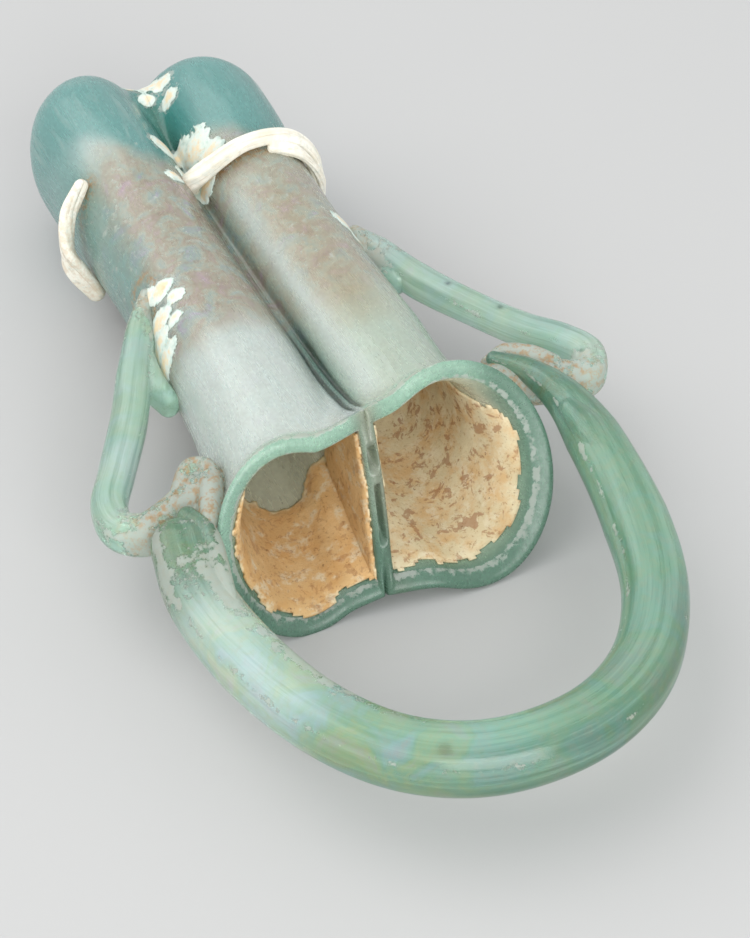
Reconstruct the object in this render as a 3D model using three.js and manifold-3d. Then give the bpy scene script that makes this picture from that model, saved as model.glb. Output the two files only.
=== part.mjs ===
// A Roman double unguentarium, lying on its back: two joined tubes of thin glass blown and pinched from
// one bubble, two side handles, a basket handle over the mouth and what is left of an applied thread.
//
// Millimetres, +Z up. While it is built, the mouth is round the origin, the tubes run along +Y to their
// rounded bottoms and +X is to the right of someone who looks into the mouth. The last lines move the
// finished group so that its bounding box stands centred on the ground.

import * as THREE from "three";
import Module from "manifold-3d";
import { mergeVertices } from "three/addons/utils/BufferGeometryUtils.js";

// ---- Driving dimensions -------------------------------------------------------------------------

const BODY_LENGTH = 112.4; // mouth to rounded bottom, mean of the two tubes
const LENGTH_SKEW = 0.2; // the left tube is longer: millimetres of length for each one across
const CAP_LENGTH = 13; // over which the rounded bottoms close
const CAP_BLUNTNESS = 0.79; // 1 closes as an ellipse, less is blunter
const CAP_BLUNTNESS_ACROSS = 0.55;
const CAP_NOTCH = 1.4; // how far the middle of the bottom falls short of the two tubes
const REST_DEPTH = 16.5; // from the tubes' axis down to the ground
const WALL = 1.9; // glass thickness of the tubes
const LIP_WALL = 2.5; // glass thickness just inside the fire-rounded rim
const SEPTUM_HALF = 1.2; // half the thickness of the dividing wall
const LEFT_SLANT = 0.4; // how far each tube's mouth leans back, for each millimetre of height
const RIGHT_SLANT = 0.6;
const MOUTH_REACH = 30; // the stretch of tube that the mouth's lean and offsets fade out over
const LEFT_MOUTH_DROP = -1.4; // height of each tube's centre at the mouth
const RIGHT_MOUTH_DROP = -0.2;
const MOUTH_SHIFT = -1.9; // the mouth stands this far to the left of the tubes
const SEPTUM_TILT = 0.1; // and its dividing wall leans to the right, for each millimetre of height
const WAIST_FILLET = 2; // rounding of the groove between the tubes
const GAP = 0.3; // left between pieces that touch
const SLIVER = 0.01; // shorter edges than this are closed up

// Along each tube: distance from the mouth, width of the left and right tube, depth from axis to skin
// of the left and right tube, and half the height of the waist between them.
const STATIONS = [
  { y: 0, left: 27.1, right: 31.6, leftDepth: 16.0, rightDepth: 17.5, waist: 14.2 },
  { y: 2.5, left: 25.2, right: 27.8, leftDepth: 15.1, rightDepth: 16.5, waist: 13.2 },
  { y: 6, left: 23.7, right: 24.9, leftDepth: 14.3, rightDepth: 14.8, waist: 12.0 },
  { y: 12, left: 22.4, right: 22.6, leftDepth: 14.1, rightDepth: 14.2, waist: 9.8 },
  { y: 29, left: 21.4, right: 21.5, leftDepth: 13.4, rightDepth: 13.5, waist: 6.0 },
  { y: 54, left: 21.0, right: 21.0, leftDepth: 13.1, rightDepth: 13.1, waist: 4.6 },
  { y: 76, left: 21.3, right: 21.2, leftDepth: 14.0, rightDepth: 14.0, waist: 4.6 },
  { y: 91, left: 22.2, right: 22.0, leftDepth: 16.9, rightDepth: 16.9, waist: 6.4 },
  { y: 104, left: 22.6, right: 22.4, leftDepth: 17.0, rightDepth: 17.0, waist: 11.5 },
];

const LOBE_SPAN = 22; // width of one tube
const LOBE_SIDES = 22; // facets round one tube
const CAP_RINGS = 6;
const RIM_ROUNDING = 0.95; // the lip's outer edge is drawn in this far at the very end
const OFF_CENTRE = 8; // beyond this far from the dividing wall a point belongs wholly to its own tube

const ARCH_HALF_WIDTH = 34.2; // basket handle, centre of the rod
const ARCH_REACH = 51; // how far it stands beyond the mouth
const ARCH_LEAN = 1.2; // its middle stands this far to the right
const ARCH_POWER = 2.3; // 2 is an ellipse, more is squarer
const ARCH_RADIUS = 5.2;
const ARCH_SAG = -1.6; // its outer end hangs this far below the tubes' axis

const SIDE_ROD_RADIUS = 3.0;
const THREAD_RADIUS = 1.45;
const THREAD_STAND = 1.8; // from the tube's skin to the middle of the thread

// ---- Small helpers ------------------------------------------------------------------------------

const LEFT = -1;
const RIGHT = 1;

const wasm = await Module();
wasm.setup();

// A smooth curve through one value of the stations, with the slope at each from its neighbours.
function stationValue(key, y) {
  const last = STATIONS.length - 1;
  const slope = (i) => {
    const a = STATIONS[Math.max(i - 1, 0)];
    const b = STATIONS[Math.min(i + 1, last)];
    return (b[key] - a[key]) / (b.y - a.y);
  };
  if (y <= STATIONS[0].y) return STATIONS[0][key];
  if (y >= STATIONS[last].y) return STATIONS[last][key];
  const i = STATIONS.findIndex((s) => s.y > y) - 1;
  const a = STATIONS[i];
  const b = STATIONS[i + 1];
  const span = b.y - a.y;
  const t = (y - a.y) / span;
  const startShare = 2 * t ** 3 - 3 * t ** 2 + 1;
  const startSlope = (t ** 3 - 2 * t ** 2 + t) * span * slope(i);
  const endSlope = (t ** 3 - t ** 2) * span * slope(i + 1);
  return a[key] * startShare + startSlope + b[key] * (1 - startShare) + endSlope;
}

// The larger of two numbers, with the corner between them rounded over about the given width.
function smoothMax(a, b, width) {
  return 0.5 * (a + b + Math.sqrt((a - b) ** 2 + width ** 2));
}

function toManifold(geometry) {
  const bare = geometry.clone();
  bare.deleteAttribute("normal");
  bare.deleteAttribute("uv");
  const merged = mergeVertices(bare, 1e-4);
  return new wasm.Manifold(
    new wasm.Mesh({
      numProp: 3,
      vertProperties: new Float32Array(merged.attributes.position.array),
      triVerts: new Uint32Array(merged.index.array),
    }),
  );
}

// Points that a cut leaves closer together than SLIVER become one, and triangles that this flattens go.
function toGeometry(manifold) {
  const mesh = manifold.getMesh();
  const cut = new THREE.BufferGeometry();
  cut.setAttribute("position", new THREE.BufferAttribute(mesh.vertProperties, 3));
  cut.setIndex(new THREE.BufferAttribute(mesh.triVerts, 1));
  const geometry = mergeVertices(cut, SLIVER);
  const corners = geometry.index.array;
  const kept = [];
  for (let i = 0; i < corners.length; i += 3) {
    const [a, b, c] = corners.slice(i, i + 3);
    if (a !== b && b !== c && c !== a) kept.push(a, b, c);
  }
  geometry.setIndex(kept);
  geometry.computeVertexNormals();
  return geometry;
}

// A closed skin over a row of rings with equal numbers of points, each end closed by a fan of triangles
// about the point given for it. Rings turn anticlockwise for someone who looks from the first to the last.
function loft(rings, startPoint, endPoint) {
  const count = rings[0].length;
  const points = [...rings.flat(), startPoint, endPoint];
  const start = points.length - 2;
  const end = points.length - 1;
  const lastRing = (rings.length - 1) * count;
  const index = [];
  for (let j = 0; j < count; j += 1) {
    const next = (j + 1) % count;
    index.push(start, j, next);
    index.push(end, lastRing + next, lastRing + j);
    for (let i = 0; i < rings.length - 1; i += 1) {
      const a = i * count;
      const b = a + count;
      index.push(a + j, b + j, a + next);
      index.push(a + next, b + j, b + next);
    }
  }
  const geometry = new THREE.BufferGeometry();
  geometry.setFromPoints(points);
  geometry.setIndex(index);
  return geometry;
}

// ---- The double tube ----------------------------------------------------------------------------

// A point on the outline of one tube's section, on the plane y. The angle is 0 at the tube's outer side
// and reaches plus or minus half a turn at the waist that the two tubes share.
function outlinePoint(side, y, angle) {
  const width = stationValue(side === LEFT ? "left" : "right", y);
  const depth = stationValue(side === LEFT ? "leftDepth" : "rightDepth", y);
  const waist = stationValue("waist", y);
  const fromWaist = 0.5 * width * (1 + Math.cos(angle));
  const nearness = Math.max(0, 1 - fromWaist / (0.5 * width));
  const round = depth * Math.abs(Math.sin(angle));
  const height = nearness > 0 ? smoothMax(round, waist, WAIST_FILLET * nearness) : round;
  return new THREE.Vector2(side * fromWaist, angle < 0 ? -height : height);
}

// The same outline moved into the glass by inset, or out of it where inset is negative.
function insetPoint(side, y, angle, inset) {
  const step = 0.02;
  const here = outlinePoint(side, y, angle);
  const ahead = outlinePoint(side, y, angle + step);
  const behind = outlinePoint(side, y, angle - step);
  const along = ahead.sub(behind).normalize();
  const inward = new THREE.Vector2(-along.y * side, along.x * side);
  return here.addScaledVector(inward, inset);
}

// The outline of one tube's section from waist to waist. It starts and ends at the distance stop from the
// plane between the tubes.
function lobeOutline(side, y, inset, stop) {
  const width = stationValue(side === LEFT ? "left" : "right", y);
  const waist = stationValue("waist", y) - inset;
  const widest = Math.acos((2 * stop) / width - 1);
  return Array.from({ length: LOBE_SIDES + 1 }, (_, i) => {
    const angle = side * widest * ((2 * i) / LOBE_SIDES - 1);
    if (i === 0 || i === LOBE_SIDES) return new THREE.Vector2(side * stop, Math.sign(angle) * waist);
    return insetPoint(side, y, angle, inset);
  });
}

// Where a point of the section at y is in space: near the mouth it takes the mouth's offsets and lean,
// and near the bottom the tubes' different lengths.
function carried(x, y, z) {
  const side = x < 0 ? LEFT : RIGHT;
  const fade = Math.max(0, 1 - Math.max(y, 0) / MOUTH_REACH);
  const offCentre = Math.min(1, Math.abs(x) / OFF_CENTRE);
  const drop = side === LEFT ? LEFT_MOUTH_DROP : RIGHT_MOUTH_DROP;
  const height = z + drop * fade * offCentre;
  const middleSlant = 0.5 * (LEFT_SLANT + RIGHT_SLANT);
  const slant = THREE.MathUtils.lerp(middleSlant, side === LEFT ? LEFT_SLANT : RIGHT_SLANT, offCentre);
  const lean = slant * height * fade ** 2;
  const tilt = SEPTUM_TILT * height * (1 - offCentre);
  const tail = Math.max(0, (y - 0.5 * BODY_LENGTH) / (0.5 * BODY_LENGTH));
  const skew = -LENGTH_SKEW * x * tail ** 2;
  return new THREE.Vector3(x + (MOUTH_SHIFT + tilt) * fade, y + lean + skew, height);
}

function meanPoint(ring) {
  const sum = new THREE.Vector3();
  ring.forEach((p) => sum.add(p));
  return sum.divideScalar(ring.length);
}

const STRAIGHT_STOPS = [9, 14, 20, 27, 35, 44, 54, 63, 71, 79, 86, 91, 95.5];

// The angles at which the rings of a rounded bottom stand, and the bottom's place and size at each.
function capRings(length, capLength) {
  return Array.from({ length: CAP_RINGS }, (_, i) => {
    const turn = (i / CAP_RINGS) * 0.5 * Math.PI;
    return {
      y: length - capLength * (1 - Math.sin(turn)),
      across: Math.cos(turn) ** CAP_BLUNTNESS_ACROSS,
      deep: Math.cos(turn) ** CAP_BLUNTNESS,
      closed: Math.sin(turn),
    };
  });
}

// The outer skin of both tubes as one solid. clearance grows it, for cutting the pieces that touch it.
function outerSkin(clearance) {
  const lowest = clearance === 0 ? -REST_DEPTH : -Infinity;
  const ring = (y, inset, cap) => {
    const sectionY = Math.max(y, 0);
    const right = lobeOutline(RIGHT, sectionY, inset, 0).slice(0, -1);
    const left = lobeOutline(LEFT, sectionY, inset, 0).slice(0, -1);
    return [...right, ...left].map((flat) => {
      const middle = Math.max(0, 1 - Math.abs(flat.x * cap.across) / (0.5 * LOBE_SPAN));
      const notch = CAP_NOTCH * cap.closed * middle ** 2;
      const p = carried(flat.x * cap.across, y - notch, flat.y * cap.deep);
      p.z = Math.max(p.z, lowest);
      return p;
    });
  };
  const open = { across: 1, deep: 1, closed: 0 };
  const rings = [
    ring(-clearance, RIM_ROUNDING - clearance, open),
    ring(0.5, 0.37 * RIM_ROUNDING - clearance, open),
    ring(1.5, -clearance, open),
    ring(4.5, -clearance, open),
    ...STRAIGHT_STOPS.map((y) => ring(y, -clearance, open)),
    ...capRings(BODY_LENGTH + clearance, CAP_LENGTH + clearance).map((c) => ring(c.y, -clearance, c)),
  ];
  const bottom = carried(0, BODY_LENGTH + clearance - CAP_NOTCH, 0);
  return toManifold(loft(rings, meanPoint(rings[0]), bottom));
}

// The empty space inside one tube, which starts outside the mouth and closes about the tube's own axis.
function hollow(side) {
  const ring = (y, inset, stop, shrink) => {
    const sectionY = Math.max(y, 0);
    const outline = lobeOutline(side, sectionY, inset, stop);
    const centre = 0.5 * (outline[0].x + outline[LOBE_SIDES / 2].x);
    return outline.map((p) => carried(centre + (p.x - centre) * shrink, y, p.y * shrink));
  };
  const length = BODY_LENGTH - WALL;
  const rings = [
    ring(-3, 1.35, 0.5, 1),
    ring(0, 1.35, 0.5, 1),
    ring(0.7, 2.1, 1.1, 1),
    ring(2, LIP_WALL, 1.5, 1),
    ring(5, 0.5 * (LIP_WALL + WALL), 1.4, 1),
    ...STRAIGHT_STOPS.map((y) => ring(y, WALL, SEPTUM_HALF, 1)),
    ...capRings(length, CAP_LENGTH - 0.5 * WALL).map((c) => ring(c.y, WALL, SEPTUM_HALF, c.deep)),
  ];
  const lastCentre = meanPoint(rings.at(-1));
  const bottom = carried(lastCentre.x, length, 0);
  return toManifold(loft(rings, meanPoint(rings[0]), bottom));
}

function body() {
  const solid = outerSkin(0).subtract(hollow(LEFT)).subtract(hollow(RIGHT));
  return toGeometry(solid);
}

// ---- Rods of hot glass --------------------------------------------------------------------------

// Where the rings of a rod's rounded end stand, as shares of the end's radius.
const END_SHARES = [0.35, 0.75, 0.95];

// A rod along a route of { at: [x, y, z], wide, tall }, where wide is its half width across the level
// plane and tall its half height, with rounded ends. grow makes it thicker all over.
function rod(route, steps, sides, grow) {
  const curve = new THREE.CatmullRomCurve3(
    route.map((r) => new THREE.Vector3(...r.at)),
    false,
    "centripetal",
  );
  const up = new THREE.Vector3(0, 0, 1);
  const ringAt = (t, thickness) => {
    const place = t * (route.length - 1);
    const i = Math.min(Math.floor(place), route.length - 2);
    const wide = THREE.MathUtils.lerp(route[i].wide, route[i + 1].wide, place - i) + grow;
    const tall = THREE.MathUtils.lerp(route[i].tall, route[i + 1].tall, place - i) + grow;
    const centre = curve.getPoint(t);
    const along = curve.getTangent(t);
    const across = new THREE.Vector3().crossVectors(along, up).normalize();
    const over = new THREE.Vector3().crossVectors(across, along);
    return Array.from({ length: sides }, (_, k) => {
      const turn = (2 * Math.PI * k) / sides;
      return centre
        .clone()
        .addScaledVector(across, wide * thickness * Math.cos(turn))
        .addScaledVector(over, tall * thickness * Math.sin(turn));
    });
  };
  const endRings = (t, direction) => {
    const end = route[t === 0 ? 0 : route.length - 1];
    const radius = Math.min(end.wide, end.tall) + grow;
    const outward = curve.getTangent(t).multiplyScalar(direction);
    return END_SHARES.map((share) => {
      const shift = outward.clone().multiplyScalar(radius * share);
      return ringAt(t, Math.sqrt(1 - share ** 2)).map((p) => p.add(shift));
    });
  };
  const rings = endRings(0, -1).reverse();
  for (let i = 0; i <= steps; i += 1) {
    rings.push(ringAt(i / steps, 1));
  }
  rings.push(...endRings(1, 1));
  return loft(rings, meanPoint(rings[0]), meanPoint(rings.at(-1)));
}

const LEFT_HANDLE_ROUTE = [
  { at: [-18.6, 54.5, 6.6], wide: 1.2, tall: 2.2 },
  { at: [-21.8, 49.5, 4.6], wide: 2.4, tall: 2.8 },
  { at: [-26.0, 42.0, 2.0], wide: SIDE_ROD_RADIUS, tall: SIDE_ROD_RADIUS },
  { at: [-30.3, 33.3, 0.9], wide: SIDE_ROD_RADIUS, tall: SIDE_ROD_RADIUS },
  { at: [-36.2, 23.2, 0.5], wide: SIDE_ROD_RADIUS, tall: SIDE_ROD_RADIUS },
  { at: [-39.8, 16.6, 0.5], wide: SIDE_ROD_RADIUS, tall: 3.2 },
  { at: [-39.9, 11.6, 0.5], wide: SIDE_ROD_RADIUS, tall: 3.5 },
  { at: [-36.6, 8.9, 0.8], wide: SIDE_ROD_RADIUS, tall: 3.8 },
  { at: [-31.6, 9.4, 1.6], wide: 3.2, tall: 4.4 },
  { at: [-25.0, 12.0, 2.2], wide: 3.8, tall: 5.0 },
];

const LEFT_FOOT_ROUTE = [
  { at: [-22.6, 48.0, 3.2], wide: 1.8, tall: 2.6 },
  { at: [-23.6, 41.5, 0.6], wide: 2.6, tall: 3.2 },
  { at: [-22.2, 36.6, -1.2], wide: 1.9, tall: 3.0 },
];

const RIGHT_HANDLE_ROUTE = [
  { at: [20.0, 56.0, 5.6], wide: 1.2, tall: 2.0 },
  { at: [22.6, 51.5, 4.0], wide: 2.4, tall: 3.0 },
  { at: [26.8, 44.4, 1.6], wide: SIDE_ROD_RADIUS, tall: 3.2 },
  { at: [32.4, 34.6, 0.9], wide: SIDE_ROD_RADIUS, tall: SIDE_ROD_RADIUS },
  { at: [37.8, 26.2, 0.6], wide: SIDE_ROD_RADIUS, tall: SIDE_ROD_RADIUS },
  { at: [42.6, 20.6, 0.5], wide: SIDE_ROD_RADIUS, tall: SIDE_ROD_RADIUS },
  { at: [44.4, 16.0, 0.5], wide: SIDE_ROD_RADIUS, tall: 3.2 },
  { at: [41.6, 11.4, 0.6], wide: SIDE_ROD_RADIUS, tall: 3.4 },
  { at: [35.6, 12.2, 1.4], wide: 3.2, tall: 3.9 },
  { at: [27.0, 14.8, 2.2], wide: 3.6, tall: 4.4 },
];

const RIGHT_FOOT_ROUTE = [
  { at: [22.6, 51.5, 3.6], wide: 1.6, tall: 2.6 },
  { at: [23.6, 46.4, 1.0], wide: 2.2, tall: 3.0 },
];

// The side handle with the foot that spreads its upper end along the tube, cut to fit the tube.
function sideHandle(route, footRoute, grow) {
  const arm = toManifold(rod(route, 30, 10, grow));
  const foot = toManifold(rod(footRoute, 6, 8, grow));
  return arm.add(foot);
}

// The arch is half a squared ellipse. It starts as a thin tail laid along the right of the rim and ends
// in a blob pressed on the left of it.
function basketRoute() {
  const full = { wide: ARCH_RADIUS, tall: ARCH_RADIUS };
  const route = [
    { at: [26.8, 16.6, 6.2], wide: 1.1, tall: 1.3 },
    { at: [30.8, 12.4, 5.6], wide: 1.9, tall: 2.1 },
    { at: [33.8, 5.6, 4.2], wide: 3.1, tall: 3.4 },
    { at: [34.8, -2.4, 2.2], wide: 4.4, tall: 4.5 },
  ];
  const arcs = 9;
  for (let i = 1; i < arcs; i += 1) {
    const turn = (Math.PI * i) / arcs;
    const c = Math.cos(turn);
    const lean = ARCH_LEAN * Math.sin(turn);
    const x = ARCH_HALF_WIDTH * Math.sign(c) * Math.abs(c) ** (2 / ARCH_POWER) + lean;
    const y = -ARCH_REACH * Math.sin(turn) ** (2 / ARCH_POWER);
    route.push({ at: [x, y, ARCH_SAG * Math.sin(turn) ** 2 + 0.4 * Math.cos(turn) ** 2], ...full });
  }
  route.push({ at: [-34.0, -6.0, 1.0], wide: 5.0, tall: 5.0 });
  route.push({ at: [-33.0, 2.4, 2.6], wide: 4.9, tall: 4.7 });
  return route;
}

// A thread laid round one tube. Each stop gives the angle round the tube, the distance y from the mouth,
// how far the thread's centre stands off the glass, and the thread's half width and half height.
function threadRoute(side, stops) {
  return stops.map((s) => {
    const angle = THREE.MathUtils.degToRad(s.angle);
    const flat = insetPoint(side, s.y, angle, -s.off);
    return { at: [flat.x, s.y, flat.y], wide: s.wide, tall: s.tall };
  });
}

// ---- Materials ----------------------------------------------------------------------------------

function glass(colour, roughness) {
  return new THREE.MeshStandardMaterial({ color: colour, roughness, metalness: 0 });
}

const WEATHERED_GLASS = glass(0xb9cfc4, 0.4);
const HANDLE_GLASS = glass(0x8fc3a8, 0.25);
const THREAD_GLASS = glass(0xdcd6c6, 0.6);

function part(name, geometry, material) {
  const mesh = new THREE.Mesh(geometry, material);
  mesh.name = name;
  return mesh;
}

// ---- The object ---------------------------------------------------------------------------------

const bodyClearance = outerSkin(GAP);
const leftHandle = sideHandle(LEFT_HANDLE_ROUTE, LEFT_FOOT_ROUTE, 0).subtract(bodyClearance);
const rightHandle = sideHandle(RIGHT_HANDLE_ROUTE, RIGHT_FOOT_ROUTE, 0).subtract(bodyClearance);
const basket = toManifold(rod(basketRoute(), 56, 12, 0))
  .subtract(bodyClearance)
  .subtract(sideHandle(LEFT_HANDLE_ROUTE, LEFT_FOOT_ROUTE, GAP))
  .subtract(sideHandle(RIGHT_HANDLE_ROUTE, RIGHT_FOOT_ROUTE, GAP));

const rightThread = threadRoute(RIGHT, [
  { angle: 168, y: 79.5, off: 2.2, wide: 2.2, tall: 1.9 },
  { angle: 140, y: 77.5, off: 2.1, wide: 2.0, tall: 1.7 },
  { angle: 100, y: 75.8, off: THREAD_STAND, wide: THREAD_RADIUS, tall: THREAD_RADIUS },
  { angle: 60, y: 76.4, off: THREAD_STAND, wide: THREAD_RADIUS, tall: THREAD_RADIUS },
  { angle: 25, y: 77.4, off: THREAD_STAND, wide: THREAD_RADIUS, tall: THREAD_RADIUS },
  { angle: -12, y: 77.8, off: THREAD_STAND, wide: 1.3, tall: 1.3 },
]);
const leftThread = threadRoute(LEFT, [
  { angle: 44, y: 82.0, off: 1.6, wide: 1.1, tall: 1.2 },
  { angle: 22, y: 81.0, off: 2.4, wide: THREAD_RADIUS, tall: 1.8 },
  { angle: -6, y: 79.0, off: 2.9, wide: THREAD_RADIUS, tall: 2.0 },
  { angle: -34, y: 76.5, off: THREAD_STAND, wide: 1.3, tall: 1.5 },
]);

function threadSolid(route, steps) {
  return toManifold(rod(route, steps, 8, 0)).subtract(bodyClearance);
}

const vessel = new THREE.Group();
vessel.add(part("body", body(), WEATHERED_GLASS));
vessel.add(part("side_handle_left", toGeometry(leftHandle), HANDLE_GLASS));
vessel.add(part("side_handle_right", toGeometry(rightHandle), HANDLE_GLASS));
vessel.add(part("basket_handle", toGeometry(basket), HANDLE_GLASS));
vessel.add(part("thread_right", toGeometry(threadSolid(rightThread, 18)), THREAD_GLASS));
vessel.add(part("thread_left", toGeometry(threadSolid(leftThread, 12)), THREAD_GLASS));

const bounds = new THREE.Box3().setFromObject(vessel);
const middle = bounds.getCenter(new THREE.Vector3());
vessel.position.set(-middle.x, -middle.y, -bounds.min.z);

export default vessel;
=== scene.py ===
# The looks of a Roman double unguentarium, lying on its back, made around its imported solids.
#
# Shapes are worked out in millimetres in the vessel's own axes: the mouth is round the origin, the tubes
# run along +y to their rounded bottoms, +x is to the right of someone who looks into the mouth and +z is
# up. to_frame() carries them to the record's frame, in metres.

import itertools
import math

import bmesh
import bpy
import numpy as np
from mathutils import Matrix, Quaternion, Vector


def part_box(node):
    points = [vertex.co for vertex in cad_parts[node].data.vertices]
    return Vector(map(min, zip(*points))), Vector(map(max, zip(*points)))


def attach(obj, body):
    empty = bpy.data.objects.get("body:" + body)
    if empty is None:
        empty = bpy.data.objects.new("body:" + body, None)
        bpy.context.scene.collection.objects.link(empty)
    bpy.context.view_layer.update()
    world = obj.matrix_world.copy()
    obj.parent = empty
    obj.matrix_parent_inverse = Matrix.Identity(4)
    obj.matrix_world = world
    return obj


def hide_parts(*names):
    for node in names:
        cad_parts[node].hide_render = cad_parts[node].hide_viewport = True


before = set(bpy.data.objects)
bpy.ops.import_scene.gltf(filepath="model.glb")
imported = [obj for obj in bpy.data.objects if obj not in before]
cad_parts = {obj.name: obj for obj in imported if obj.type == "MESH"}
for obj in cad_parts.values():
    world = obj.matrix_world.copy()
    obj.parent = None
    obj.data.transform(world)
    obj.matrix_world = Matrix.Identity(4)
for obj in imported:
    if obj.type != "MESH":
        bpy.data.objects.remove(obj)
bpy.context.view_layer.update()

MM = 0.001

# ---- Sizes of the vessel, millimetres ----

BODY_LENGTH = 112.4  # mouth to rounded bottom, mean of the two tubes
LENGTH_SKEW = 0.2  # the left tube is longer: millimetres of length for each one across
CAP_LENGTH = 13.0  # over which the rounded bottoms close
CAP_BLUNTNESS = 0.79
CAP_BLUNTNESS_ACROSS = 0.55
CAP_NOTCH = 1.4  # how far the middle of the bottom falls short of the two tubes
REST_DEPTH = 16.5  # from the tubes' axis down to the ground
WALL = 1.9
LIP_WALL = 2.5
SEPTUM_HALF = 1.2
LIP_SEPTUM_HALF = 1.35
SEPTUM_BULGE = 0.9  # the dividing wall's front bends this far to the right
LEFT_SLANT = 0.4  # how far each tube's mouth leans back, for each millimetre of height
RIGHT_SLANT = 0.6
MOUTH_REACH = 30.0  # the stretch of tube that the mouth's lean and offsets fade out over
LEFT_MOUTH_DROP = -1.4
RIGHT_MOUTH_DROP = -0.2
MOUTH_SHIFT = -1.9
SEPTUM_TILT = 0.1
WAIST_FILLET = 2.0
OFF_CENTRE = 8.0
LOBE_SPAN = 22.0

# Along each tube: distance from the mouth, widths of the left and right tube, depths from axis to skin
# of the left and right tube, and half the height of the waist between them.
STATIONS = np.array([
    [0.0, 27.1, 31.6, 16.0, 16.6, 14.2],
    [2.5, 25.2, 27.8, 15.1, 15.6, 13.2],
    [6.0, 23.7, 24.9, 14.3, 14.7, 12.0],
    [12.0, 22.4, 22.6, 14.1, 14.2, 9.8],
    [29.0, 21.4, 21.5, 13.4, 13.5, 6.0],
    [54.0, 21.0, 21.0, 13.1, 13.1, 4.6],
    [76.0, 21.3, 21.2, 14.0, 14.0, 4.6],
    [91.0, 22.2, 22.0, 16.9, 16.9, 6.4],
    [104.0, 22.6, 22.4, 17.0, 17.0, 11.5],
])
COLUMN = {"left": 1, "right": 2, "left_depth": 3, "right_depth": 4, "waist": 5}
LEFT, RIGHT = -1, 1

ARCH_HALF_WIDTH = 34.2  # basket handle, centre of the rod
ARCH_REACH = 51.0
ARCH_LEAN = 1.2
ARCH_POWER = 2.3
ARCH_RADIUS = 5.2
ARCH_SAG = -1.6

# ---- Small numeric helpers ----


def smoothstep(low, high, value):
    t = np.clip((np.asarray(value, float) - low) / (high - low), 0.0, 1.0)
    return t * t * (3.0 - 2.0 * t)


def bump(centre, width, value):
    """1 at centre, falling smoothly to nothing about two widths away."""
    return np.exp(-(((np.asarray(value, float) - centre) / width) ** 2))


def lerp(a, b, t):
    return a + (b - a) * t


def lattice_noise(points, size, seed=0):
    """Smooth noise from -1 to 1 at points, with bumps about size apart."""
    p = np.asarray(points, float) / size
    cell = np.floor(p).astype(np.int64)
    f = p - cell
    f = f * f * (3.0 - 2.0 * f)
    total = np.zeros(len(p))
    for corner in itertools.product((0, 1), repeat=3):
        c = cell + np.array(corner)
        h = c[:, 0] * 73856093 ^ c[:, 1] * 19349663 ^ c[:, 2] * 83492791 ^ (seed + 1) * 40503
        h = (h ^ (h >> 13)) * 1274126177
        value = ((h ^ (h >> 16)) & 0xFFFF) / 32767.5 - 1.0
        weight = np.prod(np.where(corner, f, 1.0 - f), axis=1)
        total += value * weight
    return total


def fractal(points, size, octaves=3, seed=0):
    total = np.zeros(len(points))
    gain = 1.0
    for k in range(octaves):
        total += gain * lattice_noise(points, size / 2**k, seed + 11 * k)
        gain *= 0.5
    return total / (2.0 - 2.0 ** (1 - octaves))


def srgb(red, green, blue):
    """A colour given by its screen values from 0 to 255, as the shaders take it."""
    c = np.array([red, green, blue]) / 255.0
    return np.where(c <= 0.04045, c / 12.92, ((c + 0.055) / 1.055) ** 2.4)


def rgba(colour):
    return (*[float(v) for v in colour], 1.0)


# ---- The double tube's surfaces ----


def station(key, y):
    """A smooth curve through one column of the stations, as in the solids."""
    ys, v = STATIONS[:, 0], STATIONS[:, COLUMN[key]]
    after = np.minimum(np.arange(len(ys)) + 1, len(ys) - 1)
    before = np.maximum(np.arange(len(ys)) - 1, 0)
    slope = (v[after] - v[before]) / (ys[after] - ys[before])
    y = np.clip(np.asarray(y, float), ys[0], ys[-1])
    i = np.clip(np.searchsorted(ys, y, side="right") - 1, 0, len(ys) - 2)
    span = ys[i + 1] - ys[i]
    t = (y - ys[i]) / span
    start = 2 * t**3 - 3 * t**2 + 1
    rise = (t**3 - 2 * t**2 + t) * span * slope[i] + (t**3 - t**2) * span * slope[i + 1]
    return v[i] * start + v[i + 1] * (1 - start) + rise


def smooth_max(a, b, width):
    return 0.5 * (a + b + np.sqrt((a - b) ** 2 + width**2))


def lobe_point(side, y, angle):
    """One tube's outline at y: angle 0 is its outer side, plus or minus pi is the waist."""
    width = station("left" if side == LEFT else "right", y)
    depth = station("left_depth" if side == LEFT else "right_depth", y)
    waist = station("waist", y)
    from_waist = 0.5 * width * (1 + np.cos(angle))
    nearness = np.clip(1 - from_waist / (0.5 * width), 0, None)
    rounded = depth * np.abs(np.sin(angle))
    filleted = smooth_max(rounded, waist, WAIST_FILLET * nearness + 1e-9)
    height = np.where(nearness > 0, filleted, rounded)
    return side * from_waist, np.where(angle < 0, -height, height)


def inset_lobe_point(side, y, angle, inset):
    """The same outline moved into the glass by inset."""
    step = 0.02
    x, z = lobe_point(side, y, angle)
    ahead_x, ahead_z = lobe_point(side, y, angle + step)
    behind_x, behind_z = lobe_point(side, y, angle - step)
    along_x, along_z = ahead_x - behind_x, ahead_z - behind_z
    length = np.maximum(np.hypot(along_x, along_z), 1e-9)
    return x - inset * side * along_z / length, z + inset * side * along_x / length


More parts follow.
